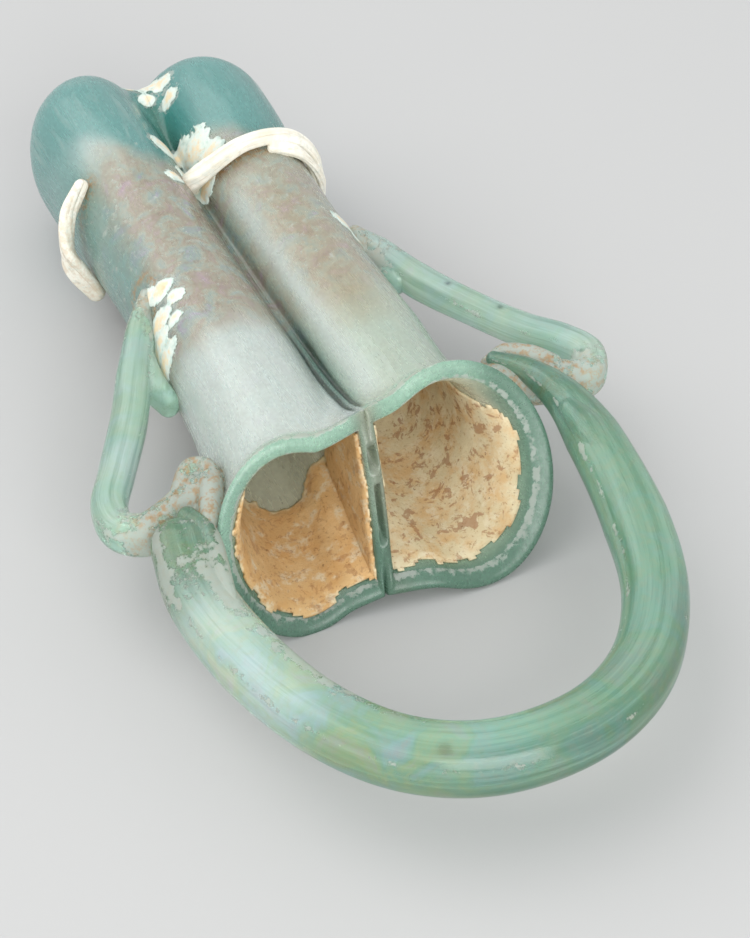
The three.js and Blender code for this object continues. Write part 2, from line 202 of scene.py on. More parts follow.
def carried(x, y, z):
    """Where a section's point is in space, with the mouth's lean and offsets and the tubes' skew."""
    left = x < 0
    fade = np.clip(1 - np.maximum(y, 0) / MOUTH_REACH, 0, None)
    off_centre = np.minimum(1, np.abs(x) / OFF_CENTRE)
    height = z + np.where(left, LEFT_MOUTH_DROP, RIGHT_MOUTH_DROP) * fade * off_centre
    slant = lerp(0.5 * (LEFT_SLANT + RIGHT_SLANT), np.where(left, LEFT_SLANT, RIGHT_SLANT), off_centre)
    lean = slant * height * fade**2
    level = np.clip(1 - (z / station("waist", y)) ** 2, 0, 1)
    sideways = SEPTUM_TILT * height + SEPTUM_BULGE * fade**3 * level
    tail = np.clip((y - 0.5 * BODY_LENGTH) / (0.5 * BODY_LENGTH), 0, None)
    skew = -LENGTH_SKEW * x * tail**2
    across = x + (MOUTH_SHIFT + sideways * (1 - off_centre)) * fade
    return np.stack([across, y + lean + skew, height], axis=-1)


def lobe_row(side, y, inset, stop, count):
    """One tube's outline from waist to waist, ending at the distance stop from the dividing plane."""
    width = station("left" if side == LEFT else "right", y)
    waist = station("waist", y) - inset
    widest = np.arccos(2 * stop / width - 1)
    angle = side * widest * (2 * np.arange(count + 1) / count - 1)
    x, z = inset_lobe_point(side, y, angle, inset)
    x[0] = x[-1] = side * stop
    z[0], z[-1] = np.sign(angle[0]) * waist, np.sign(angle[-1]) * waist
    return x, z


def glass_waves(points):
    """How far the blown skin wanders from its true form, millimetres."""
    stretched = points * np.array([1.0, 0.45, 1.0])
    return 0.16 * lattice_noise(stretched, 9.0, 3) + 0.05 * lattice_noise(stretched, 3.0, 4)


AROUND = 96  # points round one tube
LIP_STEPS = 12
SEPTUM_POINTS = 56  # down the dividing wall


def cap_stops(count):
    """Rings of a rounded bottom: how far it has closed, and its size across and deep."""
    turn = 0.5 * math.pi * (1 - (1 - np.arange(count) / count) ** 2)
    return np.sin(turn), np.cos(turn) ** CAP_BLUNTNESS_ACROSS, np.cos(turn) ** CAP_BLUNTNESS


def outer_ring(y, across=1.0, deep=1.0, closed=0.0, inset=0.0):
    """Both tubes' outer skin as one ring, anticlockwise seen from the mouth, from the lower waist."""
    xr, zr = lobe_row(RIGHT, y, inset, 0.0, AROUND)
    xl, zl = lobe_row(LEFT, y, inset, 0.0, AROUND)
    x = np.concatenate([xr[:-1], xl[:-1]]) * across
    z = np.concatenate([zr[:-1], zl[:-1]]) * deep
    middle = np.clip(1 - np.abs(x) / (0.5 * LOBE_SPAN), 0, None)
    x = x + np.where(np.arange(len(x)) < AROUND, 1e-9, -1e-9)
    points = carried(x, y - CAP_NOTCH * closed * middle**2, z)
    points[:, 2] = np.maximum(points[:, 2], -REST_DEPTH)
    return points


def inner_walls(y):
    """How thick the outer wall and half of the septum are: thicker behind the lip."""
    settled = smoothstep(1.5, 9.0, y)
    return lerp(LIP_WALL, WALL, settled), lerp(LIP_SEPTUM_HALF, SEPTUM_HALF, settled)


def inner_ring(side, y, inset, stop, shrink=1.0):
    """One hollow's ring: the lobe from waist to waist, then back along the dividing wall."""
    x, z = lobe_row(side, y, inset, stop, AROUND)
    centre = 0.5 * (x[0] + x[AROUND // 2])
    back = np.linspace(z[-1], z[0], SEPTUM_POINTS + 2)[1:-1]
    x = np.concatenate([x, np.full(SEPTUM_POINTS, side * stop)])
    z = np.concatenate([z, back])
    return carried(centre + (x - centre) * shrink, np.full(len(x), float(y)), z * shrink)


def lip_profile(steps):
    """The rounded lip from outer skin to inner wall: inset, distance from the mouth, septum stop."""
    turn = np.linspace(0, math.pi, steps + 1)
    inset = 0.5 * LIP_WALL * (1 - np.cos(turn))
    y = 0.5 * LIP_WALL * (1 - np.sin(turn))
    stop = 0.5 * LIP_SEPTUM_HALF * (1 - np.cos(turn))
    return inset, y, stop


class Shell:
    """The points and faces of one mesh, gathered row by row."""

    def __init__(self):
        self.rows = []
        self.faces = []
        self.marks = []
        self.count = 0

    def row(self, points, mark=0.0):
        index = np.arange(self.count, self.count + len(points))
        self.rows.append(np.asarray(points, float))
        self.marks.append(np.full(len(points), mark))
        self.count += len(points)
        return index

    def strip(self, first, second, closed=True):
        """Four-sided faces between two rows with equal numbers of points."""
        n = len(first) if closed else len(first) - 1
        j = np.arange(n)
        k = (j + 1) % len(first)
        self.faces.extend(np.stack([first[j], first[k], second[k], second[j]], axis=-1).tolist())

    def fan(self, ring, point):
        tip = self.row([point], self.marks[-1][-1])[0]
        self.faces.extend([int(a), int(b), int(tip)] for a, b in zip(ring, np.roll(ring, -1)))

    def points(self):
        return np.concatenate(self.rows)

    def mark(self):
        return np.concatenate(self.marks)


SEAM_OFFSET = 0.78  # two fine grooves run along the waist, this far each side of its middle
SEAM_WIDTH = 0.4
SEAM_DEPTH = 0.5


def seam_share(points):
    """1 in the middle of either seam line of the waist, falling to nothing beside it."""
    x, y, z = points.T
    fade = np.clip(1 - np.maximum(y, 0) / MOUTH_REACH, 0, None)
    from_middle = np.abs(x - (MOUTH_SHIFT + SEPTUM_TILT * z) * fade)
    return bump(SEAM_OFFSET, SEAM_WIDTH, from_middle) * smoothstep(7, 13, y) * smoothstep(94, 84, y)


def outward_waves(points):
    """Moves points of the outer skin by glass_waves, away from the middle of their own tube."""
    axis_x = np.where(points[:, 0] < 0, -0.5, 0.5) * LOBE_SPAN
    away = np.stack([points[:, 0] - axis_x, np.zeros(len(points)), points[:, 2]], axis=-1)
    away /= np.maximum(np.linalg.norm(away, axis=1, keepdims=True), 4.0)
    moved = points + away * glass_waves(points)[:, None]
    moved[:, 2] -= np.sign(points[:, 2]) * SEAM_DEPTH * seam_share(points)
    moved[:, 2] = np.maximum(moved[:, 2], -REST_DEPTH)
    return moved


SLOT_DEPTH = 2.6  # of the gaps between the two walls that the septum was pinched from
SLOTS = ((0.2, 0.075, 0.62), (0.56, 0.2, 0.42))  # place down the septum, half length, half width share


def septum_front(shell, left_wall, right_wall, top_row, bottom_row):
    """The rounded front of the dividing wall, with the gaps left where its two walls don't meet."""
    points = shell.points()
    share = 0.5 * (1 - np.cos(np.linspace(0, math.pi, len(top_row))))
    forward = 0.5 * LIP_WALL * np.sin(np.linspace(0, math.pi, len(top_row)))

    def plain_row(left, right):
        row = left + (right - left) * share[:, None]
        row[:, 1] -= forward
        return row

    top_bend = points[top_row] - plain_row(points[top_row[0]], points[top_row[-1]])
    bottom_bend = points[bottom_row] - plain_row(points[bottom_row[0]], points[bottom_row[-1]])
    top, bottom = points[top_row[0]], points[bottom_row[0]]
    rows = [top_row]
    for left, right in zip(left_wall, right_wall):
        down = (top[2] - points[left][2]) / (top[2] - bottom[2])
        reach = 2.2 / (top[2] - bottom[2])
        row = plain_row(points[left], points[right])
        row += top_bend * math.exp(-((down / reach) ** 2))
        row += bottom_bend * math.exp(-(((1 - down) / reach) ** 2))
        for place, half_length, half_width in SLOTS:
            open_here = max(0.0, 1 - ((down - place) / half_length) ** 2) ** 0.4
            across = np.abs(2 * share - 1) / half_width
            row[:, 1] += SLOT_DEPTH * open_here * np.clip(1 - across**2, 0, None) ** 0.7
        inner = shell.row(row[1:-1], 0.5)
        rows.append(np.concatenate([[left], inner, [right]]))
    rows.append(bottom_row)
    for above, below in zip(rows, rows[1:]):
        shell.strip(above, below, closed=False)


def closed_tubes(shell, ys, cap_rings, inset=0.0):
    """Adds both tubes' outer skin, inset into the glass, with its rounded bottom. Returns its first row."""
    rings = [shell.row(outward_waves(outer_ring(y, inset=inset))) for y in ys]
    for closed, across, deep in zip(*cap_stops(cap_rings)):
        y = BODY_LENGTH - inset - CAP_LENGTH * (1 - closed)
        rings.append(shell.row(outward_waves(outer_ring(y, across, deep, closed, inset))))
    for a, b in zip(rings, rings[1:]):
        shell.strip(a, b)
    shell.fan(rings[-1], carried(*np.array([0.0, BODY_LENGTH - inset - CAP_NOTCH, 0.0])))
    return rings[0]


def body_shell():
    """The double tube as one closed skin: outside, lip, both hollows and the dividing wall's front."""
    shell = Shell()
    inset, lip_y, stop = lip_profile(LIP_STEPS)
    straight = np.concatenate([np.arange(lip_y[0], 12, 0.6), np.arange(12, BODY_LENGTH - CAP_LENGTH, 0.8)])
    first = closed_tubes(shell, straight, 34)
    outer_row = {
        RIGHT: first[: AROUND + 1],
        LEFT: np.concatenate([first[AROUND:], first[:1]]),
    }
    lip = {RIGHT: [outer_row[RIGHT]], LEFT: [outer_row[LEFT]]}
    walls = {}
    inner_y = np.concatenate([np.arange(2.0, 12, 0.8), np.arange(12, BODY_LENGTH - CAP_LENGTH - 1, 1.2)])
    for side in (RIGHT, LEFT):
        for k in range(1, LIP_STEPS):
            x, z = lobe_row(side, lip_y[k], inset[k], stop[k], AROUND)
            points = carried(x, np.full(len(x), lip_y[k]), z)
            points[:, 2] = np.maximum(points[:, 2], -REST_DEPTH)
            lip[side].append(shell.row(points, 0.05 + 0.9 * k / LIP_STEPS))
        ring = shell.row(inner_ring(side, lip_y[-1], LIP_WALL, LIP_SEPTUM_HALF), 1.0)
        lip[side].append(ring[: AROUND + 1])
        walls[side] = ring[AROUND + 1 :]
        for a, b in zip(lip[side], lip[side][1:]):
            shell.strip(a, b, closed=False)
        for y in inner_y:
            following = shell.row(inner_ring(side, y, *inner_walls(y)), 1.0)
            shell.strip(ring, following)
            ring = following
        length = BODY_LENGTH - WALL
        for closed, _, deep in zip(*cap_stops(22)):
            y = length - (CAP_LENGTH - 0.5 * WALL) * (1 - closed)
            following = shell.row(inner_ring(side, y, WALL, SEPTUM_HALF, deep), 1.0)
            shell.strip(ring, following)
            ring = following
        shell.fan(ring, shell.points()[ring].mean(axis=0))

    top_row = np.array([r[0] for r in lip[LEFT][::-1]] + [r[-1] for r in lip[RIGHT][1:]])
    bottom_row = np.array([r[-1] for r in lip[LEFT][::-1]] + [r[0] for r in lip[RIGHT][1:]])
    septum_front(shell, walls[LEFT][::-1], walls[RIGHT], top_row, bottom_row)
    return shell


# ---- From millimetres in the vessel's axes to pieces in the record's frame ----

body = body_shell()
_low, _high = body.points().min(axis=0), body.points().max(axis=0)
_cad_low, _cad_high = (np.array(corner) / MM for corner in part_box("body"))
ORIGIN = 0.5 * (_cad_low + _cad_high) - 0.5 * (_low + _high)
ORIGIN[1] = _cad_high[1] - _high[1]
ORIGIN[2] = REST_DEPTH


def to_frame(points):
    return (np.asarray(points, float) + ORIGIN) * MM


def to_vessel(points):
    return np.asarray(points, float) / MM - ORIGIN


def placed(name, data):
    thing = bpy.data.objects.new(name, data)
    bpy.context.scene.collection.objects.link(thing)
    return thing


def mesh_object(name, points, faces):
    """A smooth-shaded piece from points in vessel millimetres."""
    mesh = bpy.data.meshes.new(name)
    mesh.from_pydata(to_frame(points).tolist(), [], faces)
    mesh.shade_smooth()
    return placed(name, mesh)


def vertex_points(piece):
    flat = np.zeros(3 * len(piece.data.vertices))
    piece.data.vertices.foreach_get("co", flat)
    return to_vessel(flat.reshape(-1, 3))


def give(piece, name, values):
    """A named number or colour at each point of the piece, which its material reads."""
    values = np.asarray(values, np.float32)
    if values.ndim == 1:
        piece.data.attributes.new(name, "FLOAT", "POINT").data.foreach_set("value", values)
    elif values.shape[1] == 4:
        piece.data.attributes.new(name, "FLOAT_COLOR", "POINT").data.foreach_set("color", values.ravel())
    else:
        piece.data.attributes.new(name, "FLOAT_VECTOR", "POINT").data.foreach_set("vector", values.ravel())


# ---- Rods of hot glass ----


def spline(knots, t):
    """Centripetal Catmull-Rom curve through knots, at t from 0 to 1, as the solids' rods follow it."""
    knots = np.asarray(knots, float)
    padded = np.vstack([2 * knots[0] - knots[1], knots, 2 * knots[-1] - knots[-2]])
    place = np.clip(np.asarray(t, float), 0, 1) * (len(knots) - 1)
    i = np.minimum(place.astype(int), len(knots) - 2)
    w = (place - i)[:, None]
    p = [padded[i + k] for k in range(4)]
    d = [np.sqrt(np.linalg.norm(b - a, axis=1, keepdims=True)) for a, b in zip(p, p[1:])]
    out = (p[1] - p[0]) / d[0] - (p[2] - p[0]) / (d[0] + d[1]) + (p[2] - p[1]) / d[1]
    come = (p[2] - p[1]) / d[1] - (p[3] - p[1]) / (d[1] + d[2]) + (p[3] - p[2]) / d[2]
    start, end = out * d[1], come * d[1]
    cubic = 2 * p[1] - 2 * p[2] + start + end
    square = -3 * p[1] + 3 * p[2] - 2 * start - end
    return ((cubic * w + square) * w + start) * w + p[1]


class Rod:
    """A rod along a route of (x, y, z, half width, half height), with rounded ends."""

    def __init__(self, route, steps, sides, squareness=2.0, relief=None):
        route = np.asarray(route, float)
        self.t = np.linspace(0, 1, steps + 1)
        self.centre = spline(route[:, :3], self.t)
        ahead = spline(route[:, :3], np.minimum(self.t + 1e-3, 1))
        behind = spline(route[:, :3], np.maximum(self.t - 1e-3, 0))
        self.along = (ahead - behind) / np.linalg.norm(ahead - behind, axis=1, keepdims=True)
        across = np.cross(self.along, [0.0, 0.0, 1.0])
        self.across = across / np.linalg.norm(across, axis=1, keepdims=True)
        self.over = np.cross(self.across, self.along)
        place = self.t * (len(route) - 1)
        self.size = np.stack([np.interp(place, np.arange(len(route)), route[:, k]) for k in (3, 4)], -1)
        self.distance = np.concatenate([[0], np.cumsum(np.linalg.norm(np.diff(self.centre, axis=0), axis=1))])
        self.turn = 2 * math.pi * np.arange(sides) / sides
        self.squareness = squareness
        self.relief = relief

    def ring(self, k, thickness=1.0, shift=0.0):
        c, s = np.cos(self.turn), np.sin(self.turn)
        flat = np.abs(c) ** self.squareness + np.abs(s) ** self.squareness
        stretch = thickness * flat ** (-1 / self.squareness)
        wide, tall = self.size[k]
        if self.relief is not None:
            raised = self.relief(self.distance[k], self.turn) * thickness
            wide, tall = wide + raised, tall + raised
        offset = self.across[k] * (wide * stretch * c)[:, None] + self.over[k] * (tall * stretch * s)[:, None]
        return self.centre[k] + offset + self.along[k] * shift

    def shell(self):
        shell = Shell()
        bend = np.linspace(0, 0.5 * math.pi, 9)[1:-1]
        first, last = min(self.size[0]), min(self.size[-1])
        rows = [shell.row(self.ring(0, math.cos(b), -first * math.sin(b))) for b in bend[::-1]]
        rows += [shell.row(self.ring(k)) for k in range(len(self.t))]
        rows += [shell.row(self.ring(-1, math.cos(b), last * math.sin(b))) for b in bend]
        for a, b in zip(rows, rows[1:]):
            shell.strip(a, b)
        shell.fan(rows[0], self.centre[0] - self.along[0] * first)
        shell.fan(rows[-1], self.centre[-1] + self.along[-1] * last)
        return shell

    def nearest(self, points):
        """The number of the step along the rod that each point is nearest to."""
        found = np.zeros(len(points), int)
        for start in range(0, len(points), 4000):
            chunk = points[start : start + 4000]
            gap = ((chunk[:, None, :] - self.centre[None, ::2]) ** 2).sum(axis=2)
            found[start : start + 4000] = 2 * gap.argmin(axis=1)
        return found

    def place(self, points):
        """For points near the rod: distance along it, turn round it, and both across the rod's section."""
        nearest = self.nearest(points)
        away = points - self.centre[nearest]
        u = (away * self.across[nearest]).sum(axis=1)
        v = (away * self.over[nearest]).sum(axis=1)
        return self.distance[nearest] + (away * self.along[nearest]).sum(axis=1), np.arctan2(v, u), u, v


def drawn_ridges(seed, depth, count=13, stretch=38.0):
    """Relief of hot glass that was drawn out: long ridges round the rod that come and go along it."""

    def relief(distance, turn):
        ring = np.stack([np.cos(turn), np.sin(turn), np.full(len(turn), distance / stretch)], axis=-1)
        ridges = lattice_noise(ring * np.array([1, 1, 1.0]), 4.5 / count, seed)
        wander = lattice_noise(ring * np.array([0.5, 0.5, 2.2]), 0.8, seed + 1)
        return depth * ridges + 2.0 * depth * wander

    return relief


def solidified(piece):
    """Faces turned outwards, so that the cuts and the glass find the inside."""
    mesh = bmesh.new()
    mesh.from_mesh(piece.data)
    bmesh.ops.recalc_face_normals(mesh, faces=mesh.faces)
    mesh.to_mesh(piece.data)
    mesh.free()
    return piece


def combine(piece, other, operation):
    """Joins other to piece or cuts it away, and removes other."""
    modifier = piece.modifiers.new("combine", "BOOLEAN")
    modifier.operation = operation
    modifier.object = other
    modifier.solver = "MANIFOLD"
    graph = bpy.context.evaluated_depsgraph_get()
    mesh = bpy.data.meshes.new_from_object(piece.evaluated_get(graph))
    piece.modifiers.clear()
    piece.data = mesh
    mesh.shade_smooth()
    bpy.data.objects.remove(other)
    return piece


def shell_object(name, shell):
    return solidified(mesh_object(name, shell.points(), shell.faces))


def skin_cutter(inset):
    """The space inside the outer skin, inset into the glass, which fused rods are cut back to."""
    shell = Shell()
    ys = np.concatenate([[0.8], np.arange(2, BODY_LENGTH - CAP_LENGTH, 1.2)])
    first = closed_tubes(shell, ys, 16, inset)
    shell.fan(first, shell.points()[first].mean(axis=0))
    return shell_object("cutter", shell)


FUSED_DEPTH = 0.5  # how far the rods' glass reaches into the skin that they are fused to

LEFT_ARM = [
    (-18.6, 54.5, 6.6, 1.2, 2.2), (-21.8, 49.5, 4.6, 2.4, 2.8), (-26.0, 42.0, 2.0, 3.0, 3.0),
    (-30.3, 33.3, 0.9, 3.0, 3.0), (-36.2, 23.2, 0.5, 3.0, 3.0), (-39.8, 16.6, 0.5, 3.0, 3.2),
    (-39.9, 11.6, 0.5, 3.0, 3.5), (-36.6, 8.9, 0.8, 3.0, 3.8), (-31.6, 9.4, 1.6, 3.2, 4.4),
    (-25.0, 12.0, 2.2, 3.8, 5.0),
]
LEFT_FOOT = [(-22.6, 48.0, 3.2, 1.8, 2.6), (-23.6, 41.5, 0.6, 2.6, 3.2), (-22.2, 36.6, -1.2, 1.9, 3.0)]
RIGHT_ARM = [
    (20.0, 56.0, 5.6, 1.2, 2.0), (22.6, 51.5, 4.0, 2.4, 3.0), (26.8, 44.4, 1.6, 3.0, 3.2),
    (32.4, 34.6, 0.9, 3.0, 3.0), (37.8, 26.2, 0.6, 3.0, 3.0), (42.6, 20.6, 0.5, 3.0, 3.0),
    (44.4, 16.0, 0.5, 3.0, 3.2), (41.6, 11.4, 0.6, 3.0, 3.4), (35.6, 12.2, 1.4, 3.2, 3.9),
    (27.0, 14.8, 2.2, 3.6, 4.4),
]
RIGHT_FOOT = [(22.6, 51.5, 3.6, 1.6, 2.6), (23.6, 46.4, 1.0, 2.2, 3.0)]


def arch_route():
    """A thin tail along the right of the rim, half a squared ellipse, and a blob on the left."""
    full = ARCH_RADIUS
    route = [(26.8, 16.6, 6.2, 1.1, 1.3), (30.8, 12.4, 5.6, 1.9, 2.1)]
    route += [(33.8, 5.6, 4.2, 3.1, 3.4), (34.8, -2.4, 2.2, 4.4, 4.5)]
    arcs = 9
    for i in range(1, arcs):
        turn = math.pi * i / arcs
        c, s = math.cos(turn), math.sin(turn)
        x = ARCH_HALF_WIDTH * math.copysign(abs(c) ** (2 / ARCH_POWER), c) + ARCH_LEAN * s
        y = -ARCH_REACH * s ** (2 / ARCH_POWER)
        route.append((x, y, ARCH_SAG * s**2 + 0.4 * c**2, full, full))
    return route + [(-34.0, -6.0, 1.0, 5.0, 5.0), (-33.0, 2.4, 2.6, 4.9, 4.7)]


def fused_rods(name, rods, inset=FUSED_DEPTH):
    """The rods joined into one piece and cut back to the skin that they are fused to."""
    piece = shell_object(name, rods[0].shell())
    for rod in rods[1:]:
        piece = combine(piece, shell_object("joined", rod.shell()), "UNION")
    return combine(piece, skin_cutter(inset), "DIFFERENCE")


def side_handle(name, arm_route, foot_route, folds, seed):
    """An arm, the foot that spreads along the tube, and the folds that its lower end was pressed into."""
    rods = [Rod(arm_route, 260, 56, 2.15, drawn_ridges(seed, 0.07))]
    rods.append(Rod(foot_route, 40, 36, 2.0, drawn_ridges(seed + 5, 0.09)))
    for k, fold in enumerate(folds):
        rods.append(Rod(fold, 50, 32, 2.0, drawn_ridges(seed + 9 + k, 0.07, 9, 12.0)))
    return fused_rods(name, rods), rods[0]


LEFT_FOLDS = [
    [(-31.2, 9.6, 3.0, 1.6, 1.9), (-29.0, 12.6, 4.4, 1.7, 2.0), (-26.7, 14.8, 5.2, 1.8, 2.1),
     (-24.7, 13.2, 5.6, 1.9, 2.3), (-25.5, 9.2, 5.5, 2.0, 2.4), (-27.6, 5.0, 4.8, 1.7, 2.2),
     (-28.8, 2.6, 4.2, 1.2, 1.7)],
    [(-28.6, 8.0, 2.6, 1.5, 2.4), (-27.0, 10.9, 3.6, 1.7, 2.6), (-26.6, 12.2, 3.4, 1.3, 2.3)],
]
RIGHT_FOLDS = [
    [(26.6, 18.0, 4.2, 1.1, 1.4), (29.8, 18.2, 4.8, 1.6, 1.8), (33.4, 15.6, 5.0, 1.7, 1.9),
     (36.4, 13.2, 4.4, 1.2, 1.5)],
]
ARCH_FOLDS = [
    [(33.0, 1.6, 5.4, 2.0, 1.8), (33.6, -3.0, 5.0, 2.7, 2.2), (34.6, -10.0, 3.4, 2.4, 2.2)],
    [(-31.0, 5.2, 5.8, 1.5, 1.7), (-29.4, 1.0, 5.4, 1.5, 1.6), (-30.2, -6.0, 4.4, 1.5, 1.4),
     (-31.4, -14.0, 3.4, 1.2, 1.2)],
]


def basket_handle():
    rods = [Rod(arch_route(), 520, 84, 2.25, drawn_ridges(41, 0.1, 15, 55.0))]
    for k, fold in enumerate(ARCH_FOLDS):
        rods.append(Rod(fold, 60, 32, 2.0, drawn_ridges(51 + k, 0.06, 9, 20.0)))
    return fused_rods("basket_handle", rods), rods[0]


def skin_point(side, y, angle, off=0.0):
    """A point of one tube's outer skin, off millimetres out of it."""
    x, z = inset_lobe_point(side, np.asarray(y, float), np.asarray(angle, float), -off)
    return np.stack([x, np.broadcast_to(y, x.shape), z], axis=-1)


# Threads: angle round the tube in degrees, distance from the mouth, height off the skin, half width and
# half height.
RIGHT_THREAD = [(168, 79.5, 2.2, 2.2, 1.9), (140, 77.5, 2.1, 2.0, 1.7), (100, 75.8, 1.8, 1.45, 1.45),
                (60, 76.4, 1.8, 1.45, 1.45), (25, 77.4, 1.8, 1.45, 1.45), (-12, 77.8, 1.8, 1.3, 1.3)]
RIGHT_STRAND = [(78, 74.4, 0.5, 0.8, 0.9), (55, 73.8, 0.9, 1.2, 1.0), (30, 74.2, 1.0, 1.3, 1.0),
                (8, 75.4, 1.2, 1.2, 1.1), (-8, 76.8, 1.4, 0.9, 1.0)]
LEFT_THREAD = [(44, 82.0, 1.6, 1.1, 1.2), (22, 81.0, 2.4, 1.45, 1.8), (-6, 79.0, 2.9, 1.45, 2.0),
               (-34, 76.5, 1.8, 1.3, 1.5)]


def thread_route(side, stops):
    route = []
    for angle, y, off, wide, tall in stops:
        point = skin_point(side, y, np.array([math.radians(angle)]), off)[0]
        route.append((*point, wide, tall))
    return route


def thread(name, side, strands, seed):
    """Fibrous strands of trailed glass that weathered along their length."""
    rods = [
        Rod(thread_route(side, stops), 220, 40, 2.3, drawn_ridges(seed + k, 0.3, 8, 26.0))
        for k, stops in enumerate(strands)
    ]
    return fused_rods(name, rods, 0.3), rods[0]


# ---- Crusts: thin closed layers that lie on a surface ----


def crust(name, points, normals, field, thickness, lift=0.03):
    """A layer over those cells of a grid of surface points where field is above 0. It thickens from its
    ragged edge inwards and is closed underneath."""
    rows, columns = field.shape
    body_height = thickness * np.clip(field, 0, 1) ** 0.5
    top = points + normals * (lift + body_height)[..., None]
    under = points + normals * lift
    cell = (field[:-1, :-1] > 0) & (field[1:, :-1] > 0) & (field[:-1, 1:] > 0) & (field[1:, 1:] > 0)
    number = np.arange(rows * columns).reshape(rows, columns)
    a, b, c, d = number[:-1, :-1], number[:-1, 1:], number[1:, 1:], number[1:, :-1]
    shift = rows * columns
    faces = []
    for i, j in zip(*np.nonzero(cell)):
        quad = [int(a[i, j]), int(b[i, j]), int(c[i, j]), int(d[i, j])]
        faces.append(quad)
        faces.append([k + shift for k in quad[::-1]])
        sides = (
            (i == 0 or not cell[i - 1, j], quad[0], quad[1]),
            (j == columns - 2 or not cell[i, j + 1], quad[1], quad[2]),
            (i == rows - 2 or not cell[i + 1, j], quad[2], quad[3]),
            (j == 0 or not cell[i, j - 1], quad[3], quad[0]),
        )
        faces.extend([p, p + shift, q + shift, q] for edge, p, q in sides if edge)
    everything = np.concatenate([top.reshape(-1, 3), under.reshape(-1, 3)])
    used = np.unique([k for face in faces for k in face])
    renumber = np.full(len(everything), -1)
    renumber[used] = np.arange(len(used))
    piece = mesh_object(name, everything[used], [[int(renumber[k]) for k in face] for face in faces])
    depth = np.concatenate([field.ravel(), field.ravel()])[used]
    give(piece, "field", np.clip(depth, 0, 1))
    return piece


def grid_normals(points):
    across = np.gradient(points, axis=1)
    along = np.gradient(points, axis=0)
    normal = np.cross(across, along)
    return normal / np.maximum(np.linalg.norm(normal, axis=-1, keepdims=True), 1e-9)


def inner_grid(side, ys):
    """The inner wall of one tube as a grid, with its inward normals."""
    rows = []
    for y in ys:
        ring = inner_ring(side, y, *inner_walls(y))
        rows.append(np.vstack([ring, ring[:1]]))
    points = np.stack(rows)
    normals = grid_normals(points)
    axis = points.mean(axis=1, keepdims=True)
    facing = ((axis - points) * normals).sum(axis=(1, 2))
    return points, normals * np.sign(facing)[:, None, None]


def soil(name, side, begin, reach, seed):
    """Soil dried on the floor and sides of one tube, from just inside the lip to about reach."""
    ys = np.arange(0.8, reach + 6.0, 0.3)
    points, normals = inner_grid(side, ys)
    flat = points.reshape(-1, 3)
    noise = fractal(flat, 5.0, 4, seed).reshape(points.shape[:2])
    fine = fractal(flat, 1.3, 3, seed + 1).reshape(points.shape[:2])
    z = points[..., 2]
    septum = np.arange(points.shape[1])[None, :] > AROUND
    roof = np.where(septum, 0.0, smoothstep(4.0, 9.0, z))
    start = smoothstep(begin, begin + 1.6, ys[:, None] + 1.4 * noise + 0.5 * fine)
    end = smoothstep(reach + 3.0, reach - 3.0, ys[:, None] + 4.0 * noise)
    field = 0.9 * start * end - 1.2 * roof + 0.2 * fine + 0.1 * noise - 0.16
    field[:, -1] = field[:, 0]
    return crust(name, points, normals, field, 0.75)


def skin_grid(y, turn):
    """The outer skin as a grid over y and the turn from the upper waist, positive to the right tube."""
    grid_y, grid_turn = np.meshgrid(y, turn, indexing="ij")
    angle = math.pi - np.abs(grid_turn)
    tube_y = np.minimum(grid_y, BODY_LENGTH - CAP_LENGTH)
    closed = np.clip((grid_y - tube_y) / CAP_LENGTH, 0, 0.99)
    open_share = np.sqrt(1 - closed**2)
    xr, zr = inset_lobe_point(RIGHT, grid_y, angle, 0.0)
    xl, zl = inset_lobe_point(LEFT, grid_y, angle, 0.0)
    right = grid_turn >= 0
    x = np.where(right, np.maximum(xr, 1e-9), np.minimum(xl, -1e-9)) * open_share**CAP_BLUNTNESS_ACROSS
    z = np.where(right, zr, zl) * open_share**CAP_BLUNTNESS
    middle = np.clip(1 - np.abs(x) / (0.5 * LOBE_SPAN), 0, None)
    points = carried(x.ravel(), (grid_y - CAP_NOTCH * closed * middle**2).ravel(), z.ravel())
    return outward_waves(points).reshape(len(y), len(turn), 3)


PATCH_CELL = 0.22
PATCH_LEVEL = 0.5  # a lower level gives broader patches


def patch(name, y_range, turn_range, thickness, seed, spots):
    """A flaky patch on the outer skin. Its spots are (x, y, radius) seen from above."""
    plane = skin_grid(np.arange(*y_range, PATCH_CELL), np.arange(*turn_range, PATCH_CELL / 11.0))
    shape = plane.shape[:2]
    flat = plane.reshape(-1, 3)
    noise = fractal(flat, 3.4, 4, seed).reshape(shape)
    fine = fractal(flat, 0.9, 2, seed + 1).reshape(shape)
    reach = np.zeros(shape)
    for x, y, radius in spots:
        gap = np.hypot(plane[..., 0] - x, plane[..., 1] - y)
        reach = np.maximum(reach, np.exp(-((gap / radius) ** 2)))
    field = 1.1 * reach + 0.26 * noise + 0.2 * fine - PATCH_LEVEL
    return crust(name, plane, grid_normals(plane), field, thickness)


# ---- Node materials ----


